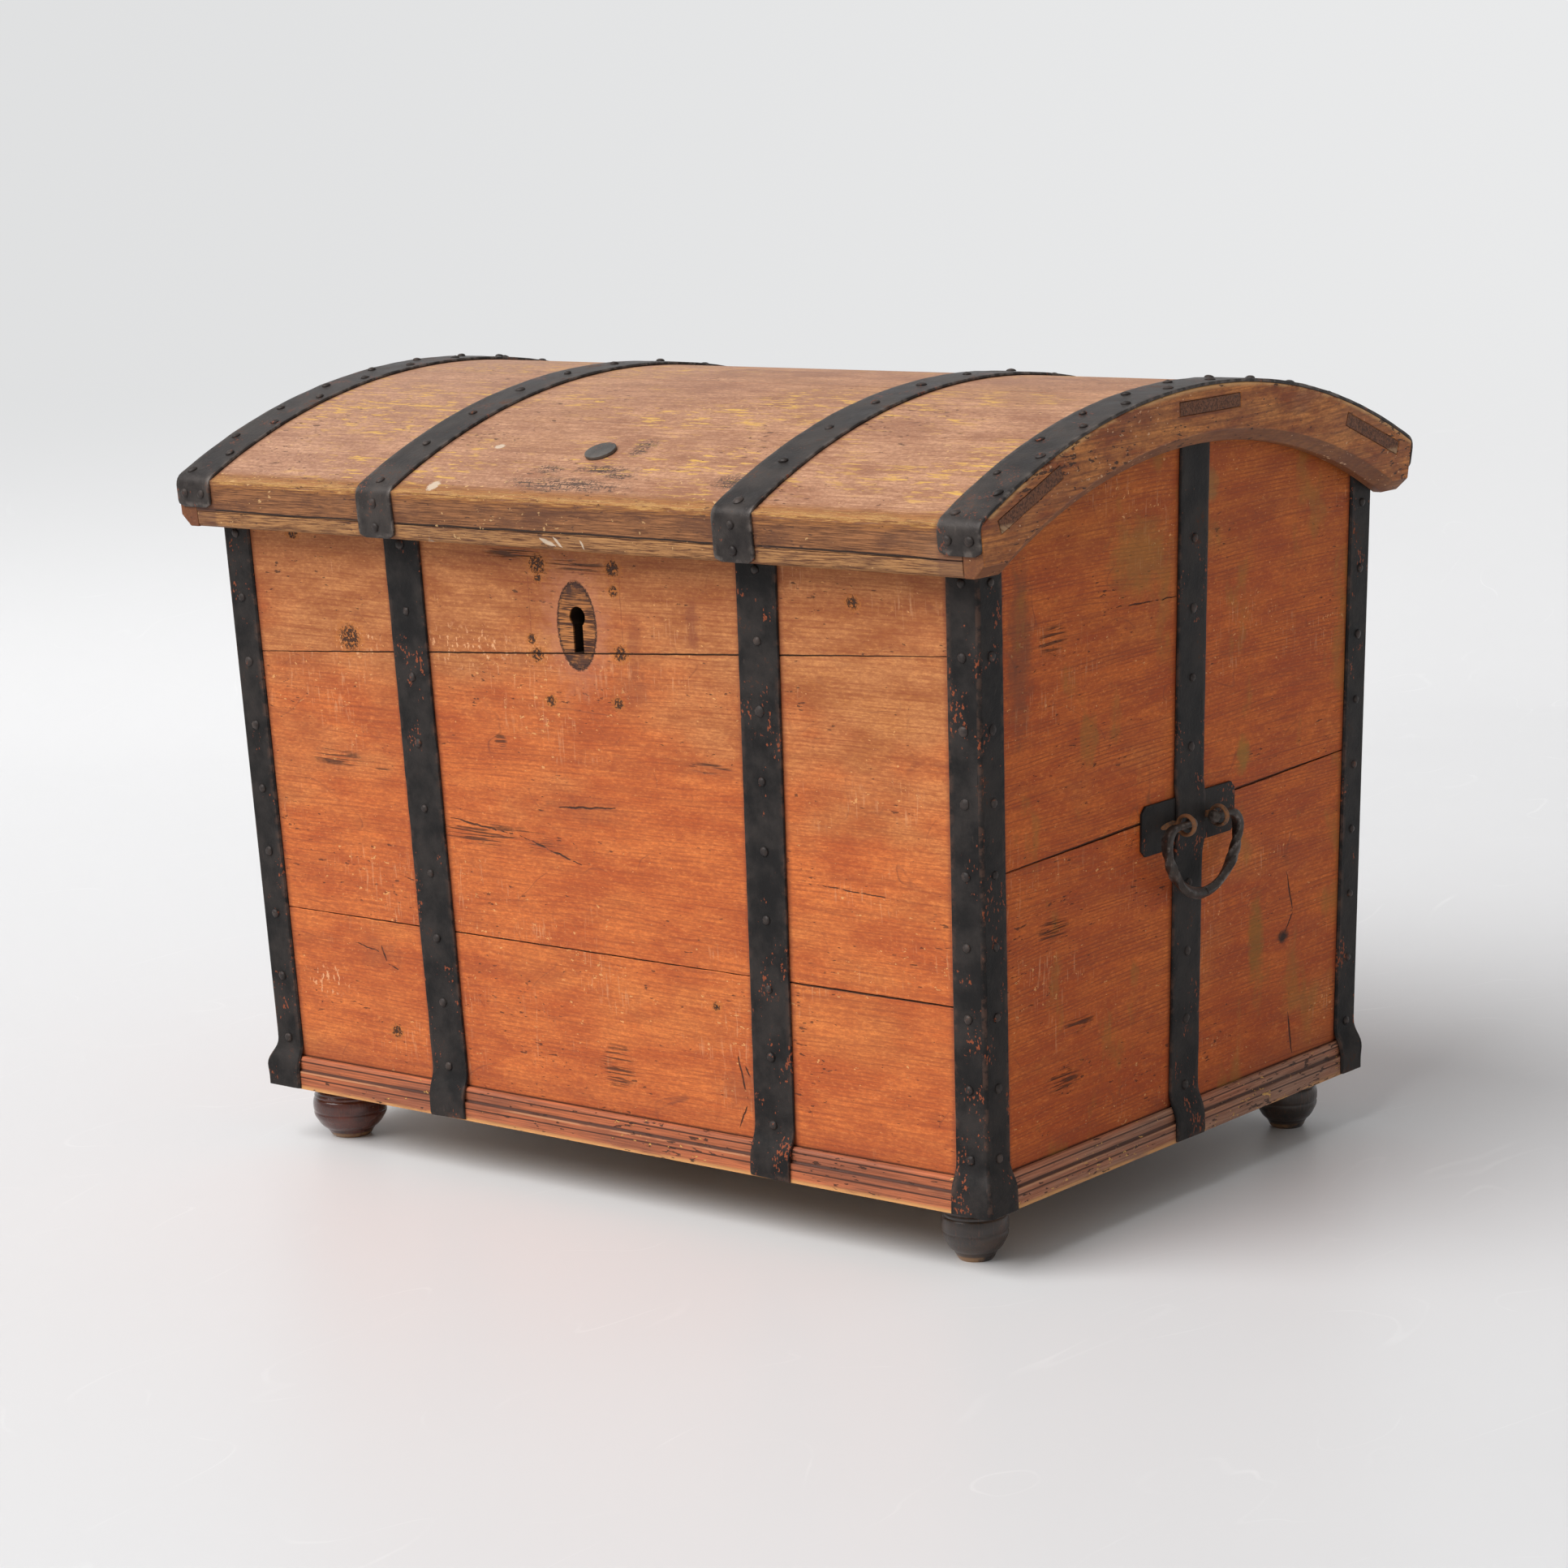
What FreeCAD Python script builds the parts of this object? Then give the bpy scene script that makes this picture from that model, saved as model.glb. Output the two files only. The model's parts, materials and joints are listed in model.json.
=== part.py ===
import FreeCAD, Part
import math
import operator
import os
from types import SimpleNamespace

import Sketcher

# A dome-lidded folk art chest. Millimetres, +Z up, the floor at zero, the front facing -Y,
# the origin on the floor under the middle of the chest.
SIZES = {
    # Walls, outside faces, at the top of the bottom boards, and how far each leans out by the rim.
    "body_length_base": 866,
    "end_splay": 20,
    "body_depth_base": 592,
    "side_splay": 14,
    "wall_height": 568,
    "wall_board": 22,
    "bottom_board": 22,
    "board_gap": 0.4,
    "front_seam_low": 161,
    "front_seam_left": 413,
    "front_seam_right": 468,
    "back_seam": 300,
    # The joint between the end boards runs behind the handle plate, above the staples. Its heights
    # at the front and at the back are measured up from the plate's lower edge.
    "end_seam_front": 23,
    "end_seam_back": 43,
    # Turned feet.
    "foot_height": 55,
    "foot_inset_end": 46,
    "foot_inset_front": 43,
    "foot_radius": 30,
    "foot_radius_large": 37,
    "spigot_radius": 10,
    "spigot_length": 19,
    "spigot_clearance": 0.1,
    # Moulded plinth.
    "plinth_height": 32,
    "plinth_width": 8,
    "plinth_band": 18,
    "plinth_hollow": 2.5,
    "plinth_round": 4,
    # Lid of staves between two arched end boards.
    "lid_radius": 738,
    "stave_thickness": 26,
    "stave_gap": 0.4,
    "rail_width": 24.8,
    "rail_height": 45.2,
    "rail_overlap": 30,
    "rail_strip": 15,
    "rail_round": 5,
    "front_undercut": 3.8,
    "back_undercut": 11,
    "end_board": 22,
    "end_board_crest": 51.7,
    "end_board_foot": 33.6,
    "end_board_chamfer": 11,
    "lid_side_gap": 1.7,
    "lid_end_gap": 1.4,
    "lid_rest_gap": 0.4,
    "tenon_width": 96,
    "tenon_thickness": 12,
    "tenon_depth": 17,
    "tenon_clearance": 0.15,
    # Iron straps, corner irons and strap hinges.
    "iron_thickness": 3,
    "iron_width": 45,
    "iron_seat": 0.1,
    "iron_end_gap": 1,
    "iron_top_gap": 2,
    "corner_leg": 35,
    "bend_rise": 9,
    "strap_place_top": 216,
    "strap_place_base": 199,
    "end_strap_top": 13,
    "end_strap_base": 3,
    "lid_strap_place": 216,
    "end_lap": 26,
    "lap_round": 7,
    "hinge_pin_radius": 4,
    "hinge_clearance": 0.1,
    "hinge_gap": 0.5,
    "crank_rise": 10,
    # Wrought nails.
    "nail_head_radius": 4.2,
    "nail_head_height": 2.2,
    "nail_spacing": 66,
    # Handles: a plate, two staples and a hanging bail at each end.
    "handle_height": 275,
    "plate_length": 150,
    "plate_height": 46,
    "plate_thickness": 2.5,
    "plate_clip": 6,
    "staple_bore": 7,
    "staple_wall": 3.5,
    "staple_width": 6,
    "staple_shank": 3,
    "staple_clearance": 1,
    "clinch_length": 18,
    "clinch_thickness": 3,
    "bail_radius": 58,
    "bail_drop": 66,
    "bail_corner": 14,
    "bail_width": 10,
    "bail_thickness": 8,
    "bail_end": 4,
    # Lock: keyhole, case, bolt, and the hasp under the lid.
    "keyhole_radius": 9.5,
    "keyhole_slot": 12,
    "keyhole_below_rim": 94,
    "keyhole_drop": 33,
    "case_length": 96,
    "case_height": 92,
    "case_depth": 27,
    "case_wall": 2.5,
    "bolt_size": 8,
    "bolt_length": 36,
    "bolt_clearance": 0.5,
    "bolt_drop": 22,
    "bolt_rest_gap": 3.5,
    "bolt_travel": 16,
    "guide_thickness": 3,
    "hasp_thickness": 5,
    "hasp_width": 16,
    "hasp_drop": 32,
    "hasp_leaf_width": 36,
    "hasp_leaf_length": 66,
    "hasp_leaf_thickness": 3,
    "rivet_radius": 15,
    "rivet_height": 3,
    "rivet_shank": 4,
    # One overrun for every cutting body.
    "overrun": 10,
}

# A foot's turned outline from the floor up, as shares of its radius and height.
FOOT_SHARES = ((0.56, 0), (0.62, 0.11), (0.95, 0.38), (1, 0.62), (0.76, 1))

# The lid's staves, and those whose tenons run through the end boards.
STAVES = 5
TENONED_STAVES = (1, 3, 5)
DEGREES_PER_RADIAN = 180 / math.pi

doc = FreeCAD.newDocument("folk_art_chest")
sheet = doc.addObject("Spreadsheet::Sheet", "sizes")
nodes = []

OPERATIONS = {"+": operator.add, "-": operator.sub, "*": operator.mul, "/": operator.truediv}


class Size:
    """A number together with the sheet formula that gives it."""

    def __init__(self, value, formula):
        self.value = float(value)
        self.formula = formula

    def __add__(self, other):
        return combine(self, "+", other)

    def __sub__(self, other):
        return combine(self, "-", other)

    def __rsub__(self, other):
        return combine(other, "-", self)

    def __mul__(self, other):
        return combine(self, "*", other)

    def __truediv__(self, other):
        return combine(self, "/", other)

    def __neg__(self):
        return combine(0, "-", self)

    __radd__ = __add__
    __rmul__ = __mul__


def as_size(number):
    """A plain number as a Size with the same number for its formula."""
    if isinstance(number, Size):
        return number
    return Size(number, f"({number})")


def combine(first, sign, second):
    """The sum, difference, product or quotient of two sizes."""
    a = as_size(first)
    b = as_size(second)
    return Size(OPERATIONS[sign](a.value, b.value), f"({a.formula} {sign} {b.formula})")


def root(size):
    """The square root of a size."""
    return Size(math.sqrt(size.value), f"sqrt({size.formula})")


def sine(angle):
    """The sine of an angle in degrees."""
    return Size(math.sin(math.radians(angle.value)), f"sin({angle.formula})")


def cosine(angle):
    """The cosine of an angle in degrees."""
    return Size(math.cos(math.radians(angle.value)), f"cos({angle.formula})")


def arc_sine(ratio):
    """The angle in degrees with this sine."""
    return Size(math.degrees(math.asin(ratio.value)), f"(asin({ratio.formula}) / 1 deg)")


def arc_tangent(ratio):
    """The angle in degrees with this tangent."""
    return Size(math.degrees(math.atan(ratio.value)), f"(atan({ratio.formula}) / 1 deg)")


def fill_sheet():
    """Write every driving size into the sheet and return them by name."""
    sizes = {}
    for row, (name, value) in enumerate(SIZES.items(), start=1):
        sheet.set(f"A{row}", name)
        sheet.set(f"B{row}", str(value))
        sheet.setAlias(f"B{row}", name)
        sizes[name] = Size(value, f"sizes.{name}")
    doc.recompute()
    return SimpleNamespace(**sizes)


s = fill_sheet()


# Making and placing pieces.
def keep(piece):
    """Count a piece among the chest's own pieces, under its own name."""
    piece.Label = piece.Name
    nodes.append(piece)
    return piece


def bind(thing, name, size):
    """Tie one property of an object to a size's formula."""
    thing.setExpression(name, as_size(size).formula)


def placement_formula(base, turns):
    """The formula of a placement at base after the turns, each (axis, angle), the last one first."""
    x, y, z = (as_size(value).formula for value in base)
    rotations = [f"rotation(vector({axis}); {as_size(angle).formula})" for axis, angle in turns]
    return f"placement(vector({x}; {y}; {z}); {' * '.join(rotations)})"


ABOUT_X = "1; 0; 0"
ABOUT_Y = "0; 1; 0"
ABOUT_Z = "0; 0; 1"


def place(thing, base, *turns):
    """Put a piece at base, turned by each (axis, angle)."""
    thing.setExpression("Placement", placement_formula(base, turns or ((ABOUT_Z, 0),)))
    return thing


def new_body(name):
    """An empty body."""
    body = doc.addObject("PartDesign::Body", name)
    body.Label = name
    return body


def arc_between(start, end, radius, turn, major):
    """A circle's arc from start to end: turn +1 anticlockwise, -1 clockwise."""
    chord = end - start
    left = FreeCAD.Vector(-chord.y, chord.x, 0).normalize()
    height = math.sqrt(max(radius**2 - (chord.Length / 2) ** 2, 0))
    side = turn * (-1 if major else 1)
    centre = (start + end) / 2 + left * height * side
    first, last = (start, end) if turn > 0 else (end, start)
    angles = [math.atan2(point.y - centre.y, point.x - centre.x) for point in (first, last)]
    circle = Part.Circle(centre, FreeCAD.Vector(0, 0, 1), radius)
    return Part.ArcOfCircle(circle, angles[0], angles[1])


def tie(sketch, kind, targets, size, name):
    """Add a dimension to a sketch and bind it to its size."""
    sketch.addConstraint(Sketcher.Constraint(kind, *targets, size.value))
    sketch.renameConstraint(sketch.ConstraintCount - 1, name)
    sketch.setExpression(f"Constraints.{name}", size.formula)


def draw_loop(sketch, corners, closed=True):
    """Draw lines and arcs through corners, each (x, y) or (x, y, radius, turn[, major])."""
    points = [FreeCAD.Vector(as_size(corner[0]).value, as_size(corner[1]).value, 0) for corner in corners]
    spans = len(corners) if closed else len(corners) - 1
    first = sketch.GeometryCount
    ends = []
    for i in range(spans):
        start = points[i]
        end = points[(i + 1) % len(points)]
        if len(corners[i]) > 2:
            radius, turn, *major = corners[i][2:]
            sketch.addGeometry(arc_between(start, end, radius.value, turn, bool(major)))
            ends.append((1, 2) if turn > 0 else (2, 1))
            tie(sketch, "Radius", (first + i,), radius, f"radius{first + i}")
        else:
            sketch.addGeometry(Part.LineSegment(start, end))
            ends.append((1, 2))
    for i in range(spans if closed else spans - 1):
        after = (i + 1) % spans
        meeting = (first + i, ends[i][1], first + after, ends[after][0])
        sketch.addConstraint(Sketcher.Constraint("Coincident", *meeting))
    for i, corner in enumerate(corners):
        span, end = (i, ends[i][0]) if i < spans else (spans - 1, ends[spans - 1][1])
        tie(sketch, "DistanceX", (-1, 1, first + span, end), as_size(corner[0]), f"x{first}_{i}")
        tie(sketch, "DistanceY", (-1, 1, first + span, end), as_size(corner[1]), f"y{first}_{i}")


def draw_circle(sketch, x, y, radius):
    """Draw a circle about (x, y)."""
    x, y = as_size(x), as_size(y)
    number = sketch.GeometryCount
    centre = FreeCAD.Vector(x.value, y.value, 0)
    sketch.addGeometry(Part.Circle(centre, FreeCAD.Vector(0, 0, 1), radius.value))
    tie(sketch, "DistanceX", (-1, 1, number, 3), x, f"x{number}")
    tie(sketch, "DistanceY", (-1, 1, number, 3), y, f"y{number}")
    tie(sketch, "Radius", (number,), radius, f"radius{number}")


def new_sketch(body, role, loops=(), circles=(), shift=0, turn=0, closed=True):
    """A sketch on one of the body's own planes, shifted along its normal and turned in it."""
    sketch = body.newObject("Sketcher::SketchObject", f"{body.Name}_sketch")
    plane = next(item for item in body.Origin.OriginFeatures if item.Role == f"{role}_Plane")
    sketch.AttachmentSupport = [(plane, "")]
    sketch.MapMode = "FlatFace"
    sketch.setExpression("AttachmentOffset", placement_formula((0, 0, shift), ((ABOUT_Z, turn),)))
    for corners in loops:
        draw_loop(sketch, corners, closed)
    for circle in circles:
        draw_circle(sketch, *circle)
    return sketch


def extrude(body, kind, sketch, length, inward=False, both_ways=False):
    """Pad or pocket a sketch by a length."""
    feature = body.newObject(f"PartDesign::{kind}", f"{body.Name}_{kind.lower()}")
    feature.Profile = sketch
    feature.SideType = "Symmetric" if both_ways else "One side"
    feature.Reversed = inward
    bind(feature, "Length", length)
    return feature


def revolve(body, sketch):
    """Turn a sketch fully about its own vertical axis."""
    feature = body.newObject("PartDesign::Revolution", f"{body.Name}_revolution")
    feature.Profile = sketch
    feature.ReferenceAxis = (sketch, ["V_Axis"])
    feature.Angle = 360
    return feature


def edges_where(feature, wanted):
    """The names of a feature's edges whose two ends and middle meet a test."""
    doc.recompute()
    return [f"Edge{i}" for i, edge in enumerate(feature.Shape.Edges, start=1) if wanted(edge)]


def dress(body, kind, feature, edges, size):
    """Fillet or chamfer some edges of a body's last feature."""
    dressed = body.newObject(f"PartDesign::{kind}", f"{body.Name}_{kind.lower()}")
    dressed.Base = (feature, edges)
    bind(dressed, "Radius" if kind == "Fillet" else "Size", size)
    return dressed


def box(name, length, width, height, base, *turns):
    """A box whose base corner is at base."""
    block = doc.addObject("Part::Box", name)
    bind(block, "Length", length)
    bind(block, "Width", width)
    bind(block, "Height", height)
    return place(block, base, *turns)


def cylinder(name, radius, length, base, *turns):
    """A cylinder that starts at base."""
    rod = doc.addObject("Part::Cylinder", name)
    bind(rod, "Radius", radius)
    bind(rod, "Height", length)
    return place(rod, base, *turns)


def join(kind, name, base, tool):
    """A Cut, Fuse or Common of two pieces."""
    result = doc.addObject(f"Part::{kind}", name)
    result.Base = base
    result.Tool = tool
    return result


def group(name, pieces):
    """Separate solids that share one name."""
    compound = doc.addObject("Part::Compound", name)
    compound.Links = pieces
    return compound


# Heights and faces of the body.
base_z = s.foot_height + s.bottom_board
rim_z = base_z + s.wall_height
end_slope = s.end_splay / s.wall_height
side_slope = s.side_splay / s.wall_height
end_lean = arc_tangent(end_slope)
side_lean = arc_tangent(side_slope)
end_half = s.body_length_base / 2
side_half = s.body_depth_base / 2


def end_face(z):
    """Distance of the end walls' outside face from the middle, at height z."""
    return end_half + end_slope * (z - base_z)


def side_face(z):
    """Distance of the front and back walls' outside face from the middle, at height z."""
    return side_half + side_slope * (z - base_z)


# The lid's curve and its rails, worked out from the rim of the body.
rail_inner_y = side_face(rim_z) + s.iron_seat + s.iron_thickness + s.nail_head_height + s.lid_side_gap
lid_half_depth = rail_inner_y + s.rail_width
rail_base_z = rim_z - s.rail_overlap
arris_z = rail_base_z + s.rail_height
axis_z = arris_z - root(s.lid_radius * s.lid_radius - lid_half_depth * lid_half_depth)
inner_radius = s.lid_radius - s.stave_thickness
planed_radius = inner_radius - s.lid_rest_gap
crest_z = axis_z + s.lid_radius
wall_crest_z = axis_z + planed_radius
lid_inner_x = end_face(wall_crest_z) + s.iron_seat + s.iron_thickness + s.lid_end_gap
lid_half_length = lid_inner_x + s.end_board


def rail_face(undercut, z):
    """Distance of a rail's outside face from the middle, at height z."""
    return lid_half_depth - undercut * (arris_z - z) / s.rail_height


# The four walls. Each is drawn from outside in a frame on its own outside face: x to the right,
# z up the slope, y into the chest.
FRONT, RIGHT, BACK, LEFT = 0, 90, 180, 270


def wall_frame(thing, turn, inset=0):
    """Put a piece on the outside face of a wall, or that far inside it."""
    is_end = turn in (RIGHT, LEFT)
    reach = (end_half if is_end else side_half) - inset
    lean = end_lean if is_end else side_lean
    outward = {FRONT: (0, -reach), RIGHT: (reach, 0), BACK: (0, reach), LEFT: (-reach, 0)}[turn]
    return place(thing, (*outward, base_z), (ABOUT_Z, turn), (ABOUT_X, lean))


def up_wall(turn, z):
    """Distance up the slope of a wall to height z."""
    return (z - base_z) / cosine(end_lean if turn in (RIGHT, LEFT) else side_lean)


def wall_half(turn, z):
    """Half the width of a wall's boards at height z: the end walls stand between the other two."""
    if turn in (RIGHT, LEFT):
        return side_face(z) - s.wall_board / cosine(side_lean) - s.board_gap / 2
    return end_face(z)


def wall_board(name, turn, low, high):
    """One board of a wall: low and high hold its heights at its left and right edge."""
    body = new_body(name)
    corners = [
        (-wall_half(turn, low[0]), up_wall(turn, low[0])),
        (wall_half(turn, low[1]), up_wall(turn, low[1])),
        (wall_half(turn, high[1]), up_wall(turn, high[1])),
        (-wall_half(turn, high[0]), up_wall(turn, high[0])),
    ]
    extrude(body, "Pad", new_sketch(body, "XZ", [corners]), s.wall_board, inward=True)
    return wall_frame(body, turn)


lock_z = rim_z - s.keyhole_below_rim


def keyhole_tool():
    """The keyhole as a solid: a round top for the key's pipe over a slot for its bit."""
    body = new_body("keyhole")
    half_slot = s.keyhole_slot / 2
    high = up_wall(FRONT, lock_z)
    low = high - s.keyhole_drop
    slot = [(-half_slot, low), (half_slot, low), (half_slot, high), (-half_slot, high)]
    through = s.wall_board + s.overrun * 2
    outside = {"shift": s.overrun}
    extrude(body, "Pad", new_sketch(body, "XZ", [slot], **outside), through, inward=True)
    pipe = new_sketch(body, "XZ", circles=[(0, high, s.keyhole_radius)], **outside)
    extrude(body, "Pad", pipe, through, inward=True)
    return wall_frame(body, FRONT)


def make_walls():
    """The boards of the four walls, whose tops are planed to the curve inside the lid."""
    gap = s.board_gap / 2
    keyhole = keyhole_tool()
    reach = lid_half_length + s.overrun
    planing = cylinder("lid_curve", planed_radius, reach * 2, (-reach, 0, axis_z), (ABOUT_Y, 90))
    low_seam = base_z + s.front_seam_low
    high_seam = [base_z + s.front_seam_left, base_z + s.front_seam_right]
    end_seam = [plate_low_z + s.end_seam_front, plate_low_z + s.end_seam_back]
    back_seam = base_z + s.back_seam
    top = [crest_z, crest_z]
    floor_line = [base_z, base_z]
    keep(wall_board("front_board_bottom", FRONT, floor_line, [low_seam - gap] * 2))
    middle_blank = wall_board("front_middle_blank", FRONT, [low_seam + gap] * 2, [z - gap for z in high_seam])
    keep(join("Cut", "front_board_middle", middle_blank, keyhole))
    keep(wall_board("back_board_bottom", BACK, floor_line, [back_seam - gap] * 2))
    raw = {"back_board_top": wall_board("back_top_blank", BACK, [back_seam + gap] * 2, top)}
    for side, turn, seam in (("right", RIGHT, end_seam), ("left", LEFT, end_seam[::-1])):
        keep(wall_board(f"{side}_end_board_bottom", turn, floor_line, [z - gap for z in seam]))
        raw[f"{side}_end_board_top"] = wall_board(f"{side}_end_blank", turn, [z + gap for z in seam], top)
    for name, blank in raw.items():
        keep(join("Common", name, blank, planing))
    front_blank = wall_board("front_top_blank", FRONT, [z + gap for z in high_seam], top)
    keep(join("Cut", "front_board_top", join("Common", "front_top_planed", front_blank, planing), keyhole))


# The bottom and the feet.
foot_x = end_half - s.foot_inset_end
foot_y = side_half - s.foot_inset_front


def make_bottom():
    """Two boards under the walls, bored for the spigots of the feet."""
    half_length = end_half - s.iron_seat
    half_depth = side_half - s.iron_seat
    bore = s.spigot_radius + s.spigot_clearance
    for name, sign in (("bottom_board_front", -1), ("bottom_board_back", 1)):
        body = new_body(name)
        near = s.board_gap / 2 * sign
        far = half_depth * sign
        corners = [(-half_length, near), (half_length, near), (half_length, far), (-half_length, far)]
        circles = [(foot_x * end, foot_y * sign, bore) for end in (-1, 1)]
        extrude(body, "Pad", new_sketch(body, "XY", [corners], circles), s.bottom_board)
        keep(place(body, (0, 0, s.foot_height)))


def make_foot(name, x, y, radius):
    """A turned bun foot: a pad on the floor, a belly drawn in to a neck, and a spigot."""
    height = s.foot_height - s.iron_seat
    body = new_body(name)
    outline = [(radius * across, height * up) for across, up in FOOT_SHARES]
    spigot = [
        (s.spigot_radius, height), (s.spigot_radius, height + s.spigot_length), (0, height + s.spigot_length),
    ]
    revolve(body, new_sketch(body, "XZ", [[(0, 0), *outline, *spigot]]))
    return place(body, (x, y, 0))


# The plinth covers the joint between walls and bottom on three sides.
plinth_top_z = s.foot_height + s.plinth_height
plinth_inner_x = end_face(plinth_top_z) + s.iron_seat
plinth_inner_y = side_face(plinth_top_z) + s.iron_seat
plinth_outer_x = plinth_inner_x + s.plinth_width
plinth_outer_y = plinth_inner_y + s.plinth_width


def make_plinth(name, turn, inner, low_end, high_end):
    """A moulded strip along one wall. Each end is (half length, whether it is mitred)."""
    body = new_body(name)
    step = s.plinth_width - s.plinth_hollow
    corners = [
        (-inner, 0),
        (-inner, s.plinth_height),
        (-(inner + step - s.plinth_round), s.plinth_height, s.plinth_round, 1),
        (-(inner + step), s.plinth_height - s.plinth_round),
        (-(inner + step), s.plinth_band + s.plinth_hollow, s.plinth_hollow, -1),
        (-(inner + s.plinth_width), s.plinth_band),
        (-(inner + s.plinth_width), 0),
    ]
    extrude(body, "Pad", new_sketch(body, "YZ", [corners], shift=-low_end[0]), low_end[0] + high_end[0])
    mitres = []
    for sign, (half, mitred) in ((-1, low_end), (1, high_end)):
        if mitred:
            tip = half - s.board_gap / 2
            far = half + s.overrun
            mitres.append([
                ((tip + s.overrun) * sign, -(inner + s.plinth_width + s.overrun)),
                ((far + s.overrun) * sign, -(inner + s.plinth_width + s.overrun)),
                ((far + s.overrun) * sign, -(inner - s.overrun)),
                ((tip - s.plinth_width - s.overrun) * sign, -(inner - s.overrun)),
            ])
    extrude(body, "Pocket", new_sketch(body, "XY", mitres), s.plinth_height + s.overrun, inward=True)
    return keep(place(body, (0, 0, s.foot_height), (ABOUT_Z, turn)))


# Iron on the body. A sheet is the section of the iron that follows a wall from the rim down over
# the plinth, drawn as distance from the middle and height. A band is the outline of one strap.
iron_low_z = s.foot_height + s.iron_end_gap
iron_top_z = rim_z - s.iron_top_gap
end_strap_top_z = wall_crest_z - s.iron_top_gap
bend_top_z = plinth_top_z + s.bend_rise
bend_low_z = plinth_top_z - s.bend_rise
handle_z = base_z + s.handle_height
plate_low_z = handle_z - s.plate_height / 2
plate_top_z = handle_z + s.plate_height / 2


def plinth_path(face, outer, top_z):
    """The inside of an iron down a wall and out over the plinth."""
    return [
        (face(top_z) + s.iron_seat, top_z),
        (face(bend_top_z) + s.iron_seat, bend_top_z),
        (outer + s.iron_seat, bend_low_z),
        (outer + s.iron_seat, iron_low_z),
    ]


front_path = plinth_path(side_face, plinth_outer_y, iron_top_z)
end_path = plinth_path(end_face, plinth_outer_x, iron_top_z)
back_path = [
    (side_face(iron_top_z) + s.iron_seat, iron_top_z),
    (side_half + s.iron_seat, base_z),
    (side_half + s.iron_seat, iron_low_z),
]


def end_strap_path():
    """The end strap's inside, which steps out over the handle plate."""
    over_plate = s.plate_thickness + s.iron_seat * 2
    path = plinth_path(end_face, plinth_outer_x, end_strap_top_z)
    step = s.plate_thickness + s.iron_thickness
    joggle = [
        (end_face(plate_top_z + step) + s.iron_seat, plate_top_z + step),
        (end_face(plate_top_z) + over_plate, plate_top_z),
        (end_face(plate_low_z) + over_plate, plate_low_z),
        (end_face(plate_low_z - step) + s.iron_seat, plate_low_z - step),
    ]
    return path[:1] + joggle + path[1:]


def make_sheet(name, turn, path, half_width):
    """The whole sheet of iron along one wall."""
    body = new_body(name)
    inside = [(-out, z) for out, z in path]
    outside = [(-(out + s.iron_thickness), z) for out, z in reversed(path)]
    extrude(body, "Pad", new_sketch(body, "YZ", [inside + outside]), half_width * 2, both_ways=True)
    return place(body, (0, 0, 0), (ABOUT_Z, turn))


def make_band(name, turn, corners, depth):
    """The outline of one iron, as a block that reaches out past the wall's iron."""
    body = new_body(name)
    extrude(body, "Pad", new_sketch(body, "XZ", [corners]), depth)
    return place(body, (0, 0, 0), (ABOUT_Z, turn))


def strap_corners(x_base, x_top, top_z):
    """A strap's outline, leaning from x_base at the plinth to x_top at the rim."""
    half = s.iron_width / 2
    low = iron_low_z - s.overrun
    high = top_z + s.overrun
    return [(x_base - half, low), (x_base + half, low), (x_top + half, high), (x_top - half, high)]


def leg_corners(sign, face, path):
    """A corner iron's leg: its outside edge is the section of the iron round the corner."""
    leg = s.iron_seat + s.iron_thickness - s.corner_leg
    edge = [((out + s.iron_thickness) * sign, z) for out, z in path]
    low = ((face(base_z) + leg) * sign, iron_low_z)
    high = ((face(iron_top_z) + leg) * sign, iron_top_z)
    return [high, *edge, low]


reach_x = lid_half_length + s.overrun
reach_y = lid_half_depth + s.overrun


def make_body_irons():
    """Front straps, end straps and the four corner irons."""
    front = make_sheet("front_sheet", FRONT, front_path, reach_x)
    back = make_sheet("back_sheet", BACK, back_path, reach_x)
    for side, sign in (("left", -1), ("right", 1)):
        corners = strap_corners(s.strap_place_base * sign, s.strap_place_top * sign, iron_top_z)
        band = make_band(f"front_band_{side}", FRONT, corners, reach_y)
        keep(join("Common", f"front_strap_{side}", front, band))
    for side, turn, sign in (("left", LEFT, -1), ("right", RIGHT, 1)):
        sheet_body = make_sheet(f"end_sheet_{side}", turn, end_path, reach_y)
        strap_sheet = make_sheet(f"end_strap_sheet_{side}", turn, end_strap_path(), reach_y)
        corners = strap_corners(s.end_strap_base * sign, s.end_strap_top * sign, end_strap_top_z)
        band = make_band(f"end_band_{side}", turn, corners, reach_x)
        keep(join("Common", f"end_strap_{side}", strap_sheet, band))
        for place_name, wall_sheet, wall_turn, path in (("front", front, FRONT, front_path),
                                                        ("back", back, BACK, back_path)):
            name = f"corner_iron_{place_name}_{side}"
            along = sign if wall_turn == FRONT else -sign
            across = -sign if wall_turn == FRONT else sign
            wall_leg = make_band(f"{name}_wall", wall_turn, leg_corners(along, end_face, end_path), reach_y)
            end_leg = make_band(f"{name}_end", turn, leg_corners(across, side_face, path), reach_x)
            keep(join("Fuse", name,
                      join("Common", f"{name}_wall_leg", wall_sheet, wall_leg),
                      join("Common", f"{name}_end_leg", sheet_body, end_leg)))


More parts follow.
